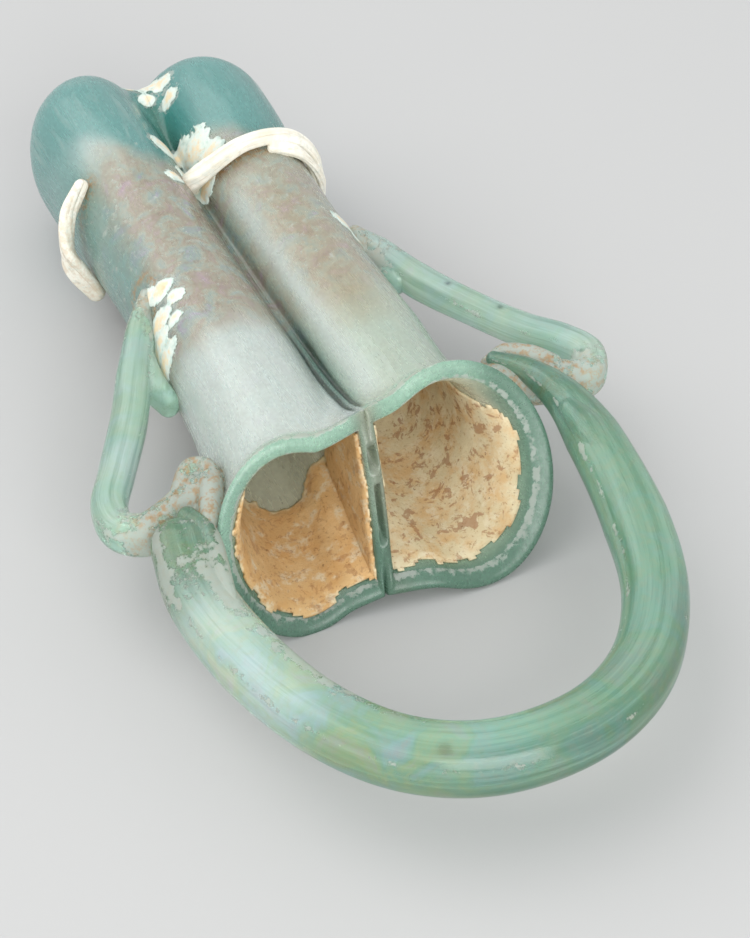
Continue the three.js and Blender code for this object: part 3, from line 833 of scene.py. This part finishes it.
class Paint:
    """A Principled material whose colour, roughness and relief come from nodes."""

    def __init__(self, name, **plain):
        self.material = bpy.data.materials.new(name)
        self.material.use_nodes = True
        self.tree = self.material.node_tree
        self.shader = self.tree.nodes["Principled BSDF"]
        for socket, value in plain.items():
            self.shader.inputs[socket.replace("_", " ")].default_value = value
        self.place = self.node("ShaderNodeTexCoord").outputs["Object"]

    def node(self, kind, **settings):
        node = self.tree.nodes.new(kind)
        for key, value in settings.items():
            setattr(node, key, value)
        return node

    def join(self, value, socket):
        """Links an output to the socket, or sets the socket to a plain number or colour."""
        if isinstance(value, bpy.types.NodeSocket):
            self.tree.links.new(value, socket)
        elif np.ndim(value):
            socket.default_value = rgba(value) if socket.type == "RGBA" else tuple(value)
        else:
            socket.default_value = float(value)

    def read(self, name, output="Fac"):
        return self.node("ShaderNodeAttribute", attribute_name=name).outputs[output]

    def noise(self, size, detail=3.0, seed=0.0, vector=None, rough=0.55, distortion=0.0):
        """Noise from 0 to 1 with bumps about size millimetres apart, or in the vector's own units."""
        unit = MM if vector is None else 1.0
        shifted = self.node("ShaderNodeVectorMath", operation="ADD")
        self.join(self.place if vector is None else vector, shifted.inputs[0])
        shifted.inputs[1].default_value = (seed * unit * 37.0, seed * unit * 17.0, seed * unit * 53.0)
        node = self.node("ShaderNodeTexNoise")
        self.join(shifted.outputs[0], node.inputs["Vector"])
        node.inputs["Scale"].default_value = 1.0 / (size * unit)
        node.inputs["Detail"].default_value = detail
        node.inputs["Roughness"].default_value = rough
        node.inputs["Distortion"].default_value = distortion
        return node.outputs["Fac"]

    def ramp(self, value, low, high, out_low=0.0, out_high=1.0):
        """A smooth step of value from low to high."""
        node = self.node("ShaderNodeMapRange", interpolation_type="SMOOTHSTEP")
        for socket, given in zip(node.inputs, (value, low, high, out_low, out_high)):
            self.join(given, socket)
        return node.outputs["Result"]

    def math(self, operation, a, b=0.0):
        node = self.node("ShaderNodeMath", operation=operation)
        self.join(a, node.inputs[0])
        self.join(b, node.inputs[1])
        return node.outputs[0]

    def mix(self, factor, a, b, blend="MIX"):
        node = self.node("ShaderNodeMix", data_type="RGBA", blend_type=blend)
        self.join(factor, node.inputs["Factor"])
        self.join(a, node.inputs[6])
        self.join(b, node.inputs[7])
        return node.outputs[2]

    def layer(self, colour, over, size, low, high, share=1.0, mask=None, **kind):
        """Lays over on the colour where noise of this size is high: up to share of it, times the mask."""
        amount = self.ramp(self.noise(size, **kind), low, high, 0.0, share)
        if mask is not None:
            amount = self.math("MULTIPLY", amount, mask)
        return self.mix(amount, colour, over)

    def colours(self, value, stops):
        """A colour ramp with (place, colour) stops."""
        node = self.node("ShaderNodeValToRGB")
        ramp = node.color_ramp
        ramp.elements[0].position, ramp.elements[0].color = stops[0][0], rgba(stops[0][1])
        ramp.elements[1].position, ramp.elements[1].color = stops[-1][0], rgba(stops[-1][1])
        for place, colour in stops[1:-1]:
            ramp.elements.new(place).color = rgba(colour)
        self.join(value, node.inputs["Fac"])
        return node.outputs["Color"]

    def relief(self, height, distance, strength=1.0):
        """Bump of height 0 to 1 standing distance millimetres high, added to what is there."""
        node = self.node("ShaderNodeBump")
        node.inputs["Strength"].default_value = strength
        node.inputs["Distance"].default_value = distance * MM
        self.join(height, node.inputs["Height"])
        if self.shader.inputs["Normal"].is_linked:
            self.join(self.shader.inputs["Normal"].links[0].from_socket, node.inputs["Normal"])
        self.join(node.outputs["Normal"], self.shader.inputs["Normal"])

    def finish(self, colour, roughness):
        self.join(colour, self.shader.inputs["Base Color"])
        self.join(roughness, self.shader.inputs["Roughness"])
        return self.material


# Screen colours of the clean and weathered glass, soil and crusts.
MILKY = srgb(234, 248, 246)
MILKY_WARM = srgb(210, 230, 216)
DUSTY = srgb(206, 206, 188)
TEAL = srgb(128, 186, 182)
DEEP_TEAL = srgb(58, 172, 167)
GROOVE_GREEN = srgb(84, 146, 130)
RIM_GREEN = srgb(178, 222, 200)
HANDLE_GREEN = srgb(112, 166, 140)
HANDLE_PALE = srgb(164, 208, 188)
MOSS = srgb(92, 132, 92)
CHALK = srgb(216, 222, 214)
CREAM = srgb(228, 210, 178)
OCHRE = srgb(188, 142, 82)
STONE_TAN = srgb(196, 180, 146)
UMBER = srgb(112, 74, 48)


def vessel_glass():
    paint = Paint("vessel_glass", Transmission_Weight=0.5, IOR=1.5)
    tint, mottle, lines = paint.read("tint", "Color"), paint.read("mottle"), paint.read("grain", "Vector")
    drawn = paint.noise(1.5, 7.0, 8.0, vector=lines, rough=0.68)
    hues = paint.colours(paint.noise(4.6, 6.0, 1.0, rough=0.66, distortion=0.6), [
        (0.28, srgb(212, 180, 208)), (0.38, srgb(206, 188, 188)), (0.46, srgb(192, 180, 160)),
        (0.52, srgb(204, 208, 192)), (0.6, srgb(178, 204, 200)), (0.7, srgb(202, 194, 222)),
    ])
    colour = paint.mix(paint.math("MULTIPLY", mottle, 0.8), tint, hues)
    brown = {"detail": 7.0, "seed": 2.0, "rough": 0.75}
    colour = paint.layer(colour, srgb(166, 140, 128), 2.2, 0.5, 0.66, 0.5, mottle, **brown)
    grain = paint.ramp(paint.noise(0.6, 6.0, 3.0, rough=0.78), 0.3, 0.7, 0.78, 1.0)
    colour = paint.mix(1.0, colour, grain, "MULTIPLY")
    haze = paint.ramp(paint.math("ADD", drawn, paint.read("haze")), 0.78, 1.18, 0.0, 0.75)
    colour = paint.mix(haze, colour, srgb(226, 238, 230))
    flaking = paint.math("ADD", paint.read("patina"), paint.noise(1.5, 8.0, 4.0, rough=0.72))
    film = paint.ramp(flaking, 1.0, 1.1)
    colour = paint.mix(paint.math("MULTIPLY", film, 0.75), colour, CHALK)
    colour = paint.layer(colour, CHALK, 0.28, 0.66, 0.76, 0.35, vector=lines, seed=5.0)
    soiled = {"mask": paint.read("stain"), "detail": 5.0, "seed": 9.0, "rough": 0.7}
    colour = paint.layer(colour, srgb(196, 146, 84), 0.9, 0.4, 0.6, **soiled)
    rough = paint.ramp(drawn, 0.3, 0.7, 0.16, 0.36)
    rough = paint.math("ADD", rough, paint.math("MULTIPLY", film, 0.3))
    paint.relief(drawn, 0.08, 0.35)
    paint.relief(film, 0.03, 0.5)
    return paint.finish(colour, rough)


def handle_glass():
    paint = Paint("handle_glass", Transmission_Weight=0.6, IOR=1.5)
    lines = paint.read("grain", "Vector")
    streak = paint.noise(1.3, 7.0, 1.0, vector=lines, rough=0.66)
    fine = paint.noise(0.35, 4.0, 2.0, vector=lines, rough=0.6)
    colour = paint.read("tint", "Color")
    for value, low, high, share, over in (
        (streak, 0.4, 0.7, 0.6, HANDLE_PALE), (streak, 0.5, 0.3, 0.45, srgb(70, 134, 104)),
        (fine, 0.55, 0.75, 0.4, srgb(74, 132, 106)),
    ):
        colour = paint.mix(paint.ramp(value, low, high, 0.0, share), colour, over)
    sheen = paint.colours(paint.noise(7.0, 4.0, 3.0, distortion=0.5), [
        (0.3, srgb(204, 200, 220)), (0.4, srgb(186, 216, 226)), (0.5, srgb(168, 206, 176)),
        (0.58, srgb(198, 216, 160)), (0.7, srgb(222, 204, 208)),
    ])
    colour = paint.mix(paint.math("MULTIPLY", paint.read("sheen"), 0.55), colour, sheen)
    flaking = paint.math("ADD", paint.read("patina"), paint.noise(1.3, 8.0, 4.0, rough=0.74))
    patchy = paint.ramp(paint.noise(5.0, 3.0, 6.0), 0.35, 0.65, -0.12, 0.1)
    film = paint.ramp(paint.math("ADD", flaking, patchy), 1.0, 1.08)
    colour = paint.mix(paint.math("MULTIPLY", film, 0.85), colour, CHALK)
    soiled = {"mask": paint.read("stain"), "detail": 6.0, "seed": 5.0, "rough": 0.72}
    colour = paint.layer(colour, srgb(206, 156, 92), 1.2, 0.46, 0.62, **soiled)
    rough = paint.ramp(streak, 0.3, 0.7, 0.09, 0.26)
    rough = paint.math("ADD", rough, paint.math("MULTIPLY", film, 0.4))
    paint.relief(fine, 0.04, 0.5)
    paint.relief(film, 0.07, 0.8)
    return paint.finish(colour, rough)


def soil_earth():
    paint = Paint("dried_soil", Specular_IOR_Level=0.2)
    colour, spots = paint.read("tint", "Color"), paint.read("spots")
    for over, size, low, high, share, mask, detail, seed, rough, distortion in (
        (srgb(204, 156, 98), 4.0, 0.4, 0.66, 0.6, None, 5.0, 1.0, 0.62, 0.0),
        (srgb(220, 208, 180), 2.6, 0.5, 0.66, 0.7, None, 6.0, 2.0, 0.68, 0.0),
        (srgb(150, 100, 60), 0.8, 0.54, 0.66, 0.6, None, 6.0, 3.0, 0.76, 0.0),
        (srgb(150, 98, 64), 2.4, 0.555, 0.61, 1.0, spots, 5.0, 4.0, 0.66, 0.5),
        (UMBER, 1.1, 0.64, 0.7, 0.7, None, 5.0, 6.0, 0.7, 0.0),
    ):
        kind = {"detail": detail, "seed": seed, "rough": rough, "distortion": distortion}
        colour = paint.layer(colour, over, size, low, high, share, mask, **kind)
    fringe = paint.ramp(paint.read("field"), 0.02, 0.3, 0.8, 0.0)
    colour = paint.mix(fringe, colour, srgb(236, 222, 186))
    paint.relief(paint.noise(0.5, 6.0, 5.0, rough=0.72), 0.25, 0.6)
    return paint.finish(colour, 0.92)


def chalk_crust():
    paint = Paint("chalky_crust", Specular_IOR_Level=0.3)
    ragged = paint.ramp(paint.noise(1.2, 6.0, 1.0, rough=0.7), 0.3, 0.7, -0.2, 0.2)
    colour = paint.colours(paint.math("ADD", paint.read("field"), ragged), [
        (0.0, srgb(186, 204, 196)), (0.16, srgb(208, 220, 212)), (0.34, CHALK), (0.6, CREAM), (1.0, CREAM),
    ])
    colour = paint.layer(colour, srgb(208, 176, 128), 2.0, 0.54, 0.68, 0.5, detail=6.0, seed=2.0, rough=0.72)
    paint.relief(paint.noise(0.5, 5.0, 3.0, rough=0.7), 0.15, 0.6)
    return paint.finish(colour, 0.85)


def thread_glass():
    paint = Paint("thread_glass", IOR=1.5)
    lines = paint.read("grain", "Vector")
    fibre = paint.noise(0.45, 5.0, 1.0, vector=lines, rough=0.6)
    flake = paint.ramp(paint.noise(1.6, 6.0, 3.0, rough=0.7), 0.5, 0.62)
    colour = paint.read("tint", "Color")
    bands = {"detail": 4.0, "seed": 2.0, "vector": lines, "rough": 0.6}
    colour = paint.layer(colour, srgb(196, 190, 166), 1.5, 0.4, 0.7, 0.55, **bands)
    colour = paint.mix(paint.ramp(fibre, 0.52, 0.75, 0.0, 0.6), colour, srgb(168, 152, 118))
    colour = paint.mix(paint.math("MULTIPLY", flake, 0.6), colour, CHALK)
    soiled = {"mask": paint.read("stain"), "detail": 5.0, "seed": 4.0, "rough": 0.7}
    colour = paint.layer(colour, OCHRE, 1.1, 0.42, 0.6, **soiled)
    paint.relief(fibre, 0.12, 0.7)
    paint.relief(flake, 0.06, 0.6)
    return paint.finish(colour, paint.ramp(flake, 0.0, 1.0, 0.55, 0.85))


# ---- Tints and masks at each point of the pieces ----


def blend(under, over, share):
    """Colours mixed towards over by each point's share."""
    return under + (np.asarray(over) - under) * np.clip(share, 0, 1)[:, None]


def with_alpha(colours):
    return np.concatenate([colours, np.ones((len(colours), 1))], axis=1)


def rod_gap(points, rod):
    """How far points are from the rod's surface, millimetres."""
    centre = rod.centre[rod.nearest(points)]
    return np.linalg.norm(points - centre, axis=1) - rod.size[:, 0].mean()


# Crusts on the outer skin: range of y and of turn from the upper waist, thickness, seed and spots.
PATCHES = (
    ("thread_crust", (70, 95), (-1.5, 1.5), 0.5, 101, [
        (-3.0, 86.4, 2.4), (0.2, 88.0, 2.4), (2.4, 84.6, 3.2), (3.8, 80.0, 3.2), (-0.4, 80.4, 3.0),
        (-4.4, 77.2, 1.8), (1.4, 76.8, 2.0),
    ]),
    ("notch_crust", (92, 110), (-1.2, 1.4), 0.3, 103, [
        (1.4, 105.6, 2.6), (3.4, 103.4, 2.4), (3.0, 98.6, 1.8), (0.0, 101.6, 1.8), (-1.4, 107.4, 1.6),
    ]),
    ("left_root_crust", (37, 58), (-3.0, -1.3), 0.3, 105, [
        (-19.0, 53.0, 2.0), (-17.0, 51.2, 2.4), (-15.8, 47.6, 1.9), (-17.4, 44.0, 1.7), (-18.9, 46.5, 2.4),
    ]),
    ("left_web_crust", (35, 49), (-3.7, -2.35), 0.4, 106, [(-20.4, 44.2, 2.2), (-20.9, 41.0, 2.4)]),
    ("right_root_crust", (46, 60), (1.7, 3.0), 0.25, 107, [(18.2, 56.0, 2.4), (20.2, 52.4, 2.2)]),
)


def lean_at(x, z):
    """How far back the mouth's rim lies at a point of the rim."""
    return np.where(x < 0, LEFT_SLANT, RIGHT_SLANT) * z


def tinted(tint, *layers):
    """The tint under layers of (colour, share)."""
    for colour, share in layers:
        tint = blend(tint, colour, share)
    return tint


def dress_vessel(piece, mark, rods):
    """Gives the vessel its tint and masks. mark is 0 on the outer skin, 1 inside and between on the lip."""
    points = vertex_points(piece)
    x, y, z = points.T
    broad = fractal(points, 7.0, 3, 71)
    noise = broad + 0.5 * fractal(points, 2.2, 3, 72)
    wander = y + 2.5 * broad
    middle = smoothstep(30.0, 44.0, wander) * smoothstep(90.0, 80.0, wander)
    wander = y + 2.5 * noise
    left = smoothstep(1.2, -1.2, x)
    tan = bump(9.0, 5.5, x + 1.5 * noise) * smoothstep(22, 34, wander) * smoothstep(72, 62, wander)
    brown_zone = left * smoothstep(32, 44, wander) * smoothstep(88, 76, wander)
    milky = bump(3.4, 1.7, x + 0.5 * noise) * smoothstep(10, 16, y) * smoothstep(74, 66, y)
    teal_from = np.where(x < 0, 80.0 + 1.1 * np.clip(-x - 8.0, 0, None), 88.0 - 0.9 * np.clip(x, 0, 12))
    teal = smoothstep(-3.0, 4.0, y + 1.8 * noise - teal_from)
    # Painted: the glass's teal deepened along the left tube's outer side, where the glass is seen edge-on.
    edge_on_teal = smoothstep(-14.5, -20.0, x + noise) * smoothstep(38.0, 56.0, y)
    notch = bump(98.5, 10.0, y) * bump(1.0, 3.2, x)
    groove = bump(0.0, 1.7, x) * smoothstep(8, 16, y)
    seam = seam_share(points)
    brown_mark = np.exp(-(((x + 10.5) ** 2 + (y - 77.0) ** 2) / 1.3)) * (z > 0)
    lip = (mark > 0) * (mark < 1)
    near_lip = np.clip(smoothstep(3.2, 1.2, y - lean_at(x, z)) + lip, 0, 1)
    shaded = np.maximum(smoothstep(2.0, -8.0, z), smoothstep(16.0, 23.0, x))

    everywhere = np.ones((len(points), 1))
    tint = tinted(
        everywhere * MILKY_WARM, (MILKY, left), (DUSTY, middle * 0.9), (STONE_TAN, 0.75 * tan),
        (srgb(176, 166, 148), 0.75 * brown_zone), (MILKY, 0.8 * milky), (TEAL, teal),
        (DEEP_TEAL, 0.95 * notch * teal), (GROOVE_GREEN, 0.9 * groove),
        (srgb(12, 62, 54), 1.8 * seam * (0.85 + 0.4 * noise)), (srgb(110, 84, 60), 0.9 * brown_mark),
        (TEAL, 0.85 * edge_on_teal), (RIM_GREEN, near_lip),
        (srgb(178, 160, 138), 0.6 * lip * bump(-0.6, 2.2, x)),
    )
    inside = tinted(
        everywhere * srgb(232, 230, 204), (TEAL, 0.7 * teal), (srgb(168, 196, 168), smoothstep(5.0, 1.5, y)),
    )
    tint = np.where((mark > 0.99)[:, None], inside, tint)
    tint = blend(tint, srgb(96, 140, 118), 0.8 * near_lip * shaded)

    skin = mark < 0.01
    stain = np.zeros(len(points))
    for rod in rods:
        stain = np.maximum(stain, bump(0.5, 0.9, rod_gap(points, rod)) * skin)
    mottle = 0.14 + 0.85 * brown_zone + 0.6 * (1 - left) * middle + 0.3 * teal
    mottle = skin * mottle * (1 - 0.8 * milky) * (1 - teal) * (1 - 0.8 * edge_on_teal)
    edges = np.maximum(bump(0.14, 0.12, mark), bump(0.86, 0.14, mark)) * lip
    patina = skin * (0.3 + 0.14 * middle + 0.1 * groove) + 0.3 * near_lip + 0.3 * edges
    for *_, spots in PATCHES:
        for cx, cy, radius in spots:
            around = np.exp(-((np.hypot(x - cx, y - cy) / (1.25 * radius)) ** 2))
            patina = np.maximum(patina, skin * (z > 0) * (0.24 + 0.5 * around))
    haze = 0.18 + 0.06 * teal * left + 0.04 * teal + 0.14 * milky + 0.1 * smoothstep(40, 24, y)
    clean = groove * (y < 78)
    give(piece, "haze", skin * haze - 0.8 * seam - 0.25 * clean)
    give(piece, "patina", patina - 0.6 * seam - 0.15 * clean)
    give(piece, "grain", np.stack([x, z, 0.12 * y + 0.02 * x], axis=1))
    give(piece, "tint", with_alpha(tint))
    give(piece, "mottle", np.clip(mottle, 0, 1))
    give(piece, "stain", 0.8 * stain)


def dress_rod(piece, rod, tint, patina=0.3, sheen=0.3, stain=0.0):
    """Gives a rod its tint and masks, and the stretched space that its streaks are drawn in. A mask is a
    number or a function of distance along, turn round and the points."""
    points = vertex_points(piece)
    distance, turn, u, v = rod.place(points)
    give(piece, "tint", with_alpha(tint(distance, turn, points)))
    give(piece, "grain", np.stack([u, v, distance * GRAIN_STRETCH], axis=1))
    for name, mask in (("patina", patina), ("sheen", sheen), ("stain", stain)):
        found = mask(distance, turn, points) if callable(mask) else mask
        give(piece, name, np.broadcast_to(found, len(points)))


GRAIN_STRETCH = 0.035
DARK = srgb(48, 56, 66)
DARK_MARKS = ((-14.7, -49.5, 1.0), (29.8, 38.8, 0.5), (35.2, 30.0, 0.5), (42.4, 15.0, 0.4))  # x, y, radius
STRIPES = (  # turn round the rod, width, colour and strength
    (0.55, 0.1, srgb(206, 228, 214), 0.8), (0.85, 0.16, srgb(74, 132, 106), 0.75),
    (1.35, 0.14, srgb(186, 218, 196), 0.5), (1.75, 0.08, srgb(86, 142, 114), 0.5),
    (2.2, 0.14, srgb(178, 212, 186), 0.5), (2.55, 0.1, srgb(78, 138, 112), 0.6),
    (2.8, 0.09, srgb(204, 228, 214), 0.7),
)


def edges_of_top(turn, place, width):
    return np.maximum(bump(place, width, turn), bump(math.pi - place, width, turn))


def marked(tint, turn, points, marks):
    """The tint with small dark marks on the rod's upper side."""
    for x, y, radius in marks:
        gap = np.hypot(points[:, 0] - x, points[:, 1] - y)
        tint = blend(tint, DARK, np.exp(-((gap / radius) ** 2)) * (turn > 0))
    return tint


def striped(tint, distance, turn, points):
    """Dark and pale lines along a drawn rod, which come and go, and its dark marks."""
    stretch = np.stack([np.cos(turn), np.sin(turn), distance / 30.0], axis=1)
    come = 0.5 + 0.5 * lattice_noise(stretch, 0.7, 88)
    for place, width, colour, share in STRIPES:
        tint = blend(tint, colour, share * come * bump(place, width, turn + 0.05 * come))
    return marked(tint, turn, points, DARK_MARKS)


def cloudy(points, colour, other, size, seed):
    """Colours that wander between two in patches about size millimetres wide."""
    share = smoothstep(-0.5, 0.5, fractal(points, size, 3, seed))
    return blend(np.tile(colour, (len(points), 1)), other, share)


def arm_tint(distance, turn, points):
    tint = cloudy(points, srgb(182, 220, 204), srgb(220, 240, 232), 8.0, 83)
    return striped(tint, distance, turn, points)


def creamy(distance, turn, points):
    return cloudy(points, srgb(252, 250, 240), srgb(240, 236, 220), 4.0, 85)


def basket_tint(distance, turn, points):
    x, y, _ = points.T
    low = smoothstep(-38, -48, y)
    # outer marks the arch's outer side near its front, which is darkened below as painted shade.
    outer = smoothstep(-30, -44, y) * smoothstep(1.6, 2.4, np.abs(turn))
    pale = smoothstep(-22, -34, x) * smoothstep(0, -12, y) * smoothstep(-44, -34, y)
    tint = tinted(
        striped(cloudy(points, HANDLE_GREEN, srgb(128, 178, 152), 9.0, 81), distance, turn, points),
        (srgb(232, 250, 252), 0.95 * pale),
        (srgb(150, 200, 186), 0.7 * low * smoothstep(16, -10, x)),
        # Painted shade: darker green on the lower right of the arch and on its outer side.
        (srgb(92, 150, 126), 0.75 * low * smoothstep(-6, 14, x)),
        (srgb(56, 116, 92), 0.85 * outer),
        (MOSS, 0.85 * smoothstep(-15, -4, y) * smoothstep(-10, -20, x)),
        (srgb(96, 144, 122), 0.8 * smoothstep(-10, 0, y) * smoothstep(10, 20, x)),
    )
    return marked(tint, turn, points, DARK_MARKS[:1])


def basket_sheen(distance, turn, points):
    x, y, _ = points.T
    lower_left = smoothstep(-6, -24, x) * smoothstep(-8, -20, y)
    return 0.22 + 0.6 * lower_left + 0.12 * bump(-49, 8, y)


def basket_patina(distance, turn, points):
    x, y, _ = points.T
    lower_left = bump(-24, 9, x) * smoothstep(-14, -24, y) + bump(-33, 4, x) * smoothstep(0, -10, y)
    flakes = lower_left * bump(0.9, 0.5, turn)
    left_root = bump(-2, 9, y) * smoothstep(-10, -20, x)
    edges = edges_of_top(turn, 0.6, 0.14)
    return 0.2 + 0.26 * edges + 0.46 * flakes + 0.24 * left_root + 0.08 * bump(-4, 10, y)


def arm_patina(distance, turn, points):
    root = smoothstep(14, 2, distance)
    end = smoothstep(44, 54, distance)
    return 0.24 + 0.2 * edges_of_top(turn, 0.6, 0.25) + 0.34 * root + 0.4 * end


def arm_stain(distance, turn, points):
    return 0.05 + 0.75 * smoothstep(48, 56, distance) + 0.5 * smoothstep(8, 0, distance)


# ---- The pieces ----

glass, drawn_glass, fibrous = vessel_glass(), handle_glass(), thread_glass()
earth, chalk = soil_earth(), chalk_crust()

vessel = shell_object("vessel", body)
left_handle, left_arm = side_handle("left_handle", LEFT_ARM, LEFT_FOOT, LEFT_FOLDS, 21)
right_handle, right_arm = side_handle("right_handle", RIGHT_ARM, RIGHT_FOOT, RIGHT_FOLDS, 31)
carrying_handle, arch = basket_handle()
right_thread, right_rod = thread("right_thread", RIGHT, [RIGHT_THREAD, RIGHT_STRAND], 61)
left_thread, left_rod = thread("left_thread", LEFT, [LEFT_THREAD], 67)

dress_vessel(vessel, body.mark(), [left_arm, right_arm, right_rod, left_rod])
dress_rod(left_handle, left_arm, arm_tint, arm_patina, 0.35, arm_stain)
dress_rod(right_handle, right_arm, arm_tint, arm_patina, 0.35, arm_stain)
dress_rod(carrying_handle, arch, basket_tint, basket_patina, basket_sheen, 0.1)
dress_rod(right_thread, right_rod, creamy, stain=0.1)
dress_rod(left_thread, left_rod, creamy, stain=0.3)

left_soil = soil("left_soil", LEFT, 0.7, 17.5, 91)
right_soil = soil("right_soil", RIGHT, 1.4, 62.0, 93)
for layer, colour, other, spots in (
    (left_soil, srgb(220, 184, 134), srgb(206, 168, 118), 0.35),
    (right_soil, srgb(218, 204, 170), srgb(206, 190, 154), 0.6),
):
    at = vertex_points(layer)
    give(layer, "tint", with_alpha(cloudy(at, colour, other, 6.0, 95)))
    give(layer, "spots", np.full(len(at), spots))

crusts = [patch(*given) for given in PATCHES]

STANDS_FOR = (
    (vessel, glass, "body", "vessel_glass"),
    (left_handle, drawn_glass, "side_handle_left", "handle_glass"),
    (right_handle, drawn_glass, "side_handle_right", "handle_glass"),
    (carrying_handle, drawn_glass, "basket_handle", "handle_glass"),
    (right_thread, fibrous, "thread_right", "thread_glass"),
    (left_thread, fibrous, "thread_left", "thread_glass"),
)
for piece, material, node, slot in STANDS_FOR:
    piece.data.materials.clear()
    piece.data.materials.append(material)
    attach(piece, "root")
    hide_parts(node)
LAYERS = (
    (left_soil, earth), (right_soil, earth),
    *((layer, chalk) for layer in crusts),
)
for layer, material in LAYERS:
    layer.data.materials.append(material)
    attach(layer, "root")

# ---- Floor, lights and camera ----


def plain_floor():
    mesh = bpy.data.meshes.new("floor")
    reach = 3.0
    corners = [(-reach, -reach, 0), (reach, -reach, 0), (reach, reach, 0), (-reach, reach, 0)]
    mesh.from_pydata(corners, [], [(0, 1, 2, 3)])
    material = bpy.data.materials.new("paper")
    material.use_nodes = True
    shader = material.node_tree.nodes["Principled BSDF"]
    shader.inputs["Base Color"].default_value = rgba(srgb(183, 183, 183))
    shader.inputs["Roughness"].default_value = 0.9
    mesh.materials.append(material)
    placed("floor", mesh)


def aimed(thing, at, aim, roll=0.0):
    """Puts a light or camera at a place and points it at another, both in vessel millimetres."""
    thing.location = to_frame(at)
    level = (Vector(to_frame(aim)) - thing.location).to_track_quat("-Z", "Y")
    thing.rotation_mode = "QUATERNION"
    thing.rotation_quaternion = level @ Quaternion((0, 0, 1), math.radians(roll))
    return thing


def soft_light(name, at, size, power, colour):
    lamp = bpy.data.lights.new(name, "AREA")
    lamp.shape, lamp.size = "SQUARE", size
    lamp.energy, lamp.color = power, colour
    aimed(placed(name, lamp), at, LIGHT_AIM)


def view_camera():
    lens = bpy.data.cameras.new("camera")
    lens.lens, lens.sensor_width, lens.sensor_fit = 83.9, 36.0, "AUTO"
    lens.clip_start, lens.clip_end = 0.01, 20.0
    bpy.context.scene.camera = aimed(placed("camera", lens), CAMERA_AT, CAMERA_AIM, CAMERA_ROLL)


def pale_world():
    world = bpy.data.worlds.new("studio")
    world.use_nodes = True
    background = world.node_tree.nodes["Background"]
    background.inputs["Color"].default_value = (0.97, 0.99, 1.0, 1.0)
    background.inputs["Strength"].default_value = 0.95
    bpy.context.scene.world = world


LIGHT_AIM = (0.0, 35.0, 0.0)  # vessel millimetres, as the two below
CAMERA_AT = (-101.7, -214.1, 244.1)
CAMERA_AIM = (1.75, 8.27, -0.83)
CAMERA_ROLL = -0.3  # degrees

plain_floor()
view_camera()
soft_light("key", (-520.0, 420.0, 760.0), 1.1, 6.0, (1.0, 0.985, 0.96))
soft_light("fill", (-80.0, -900.0, 480.0), 0.7, 7.0, (1.0, 0.99, 0.97))
pale_world()
bpy.context.scene.view_settings.view_transform = "Standard"
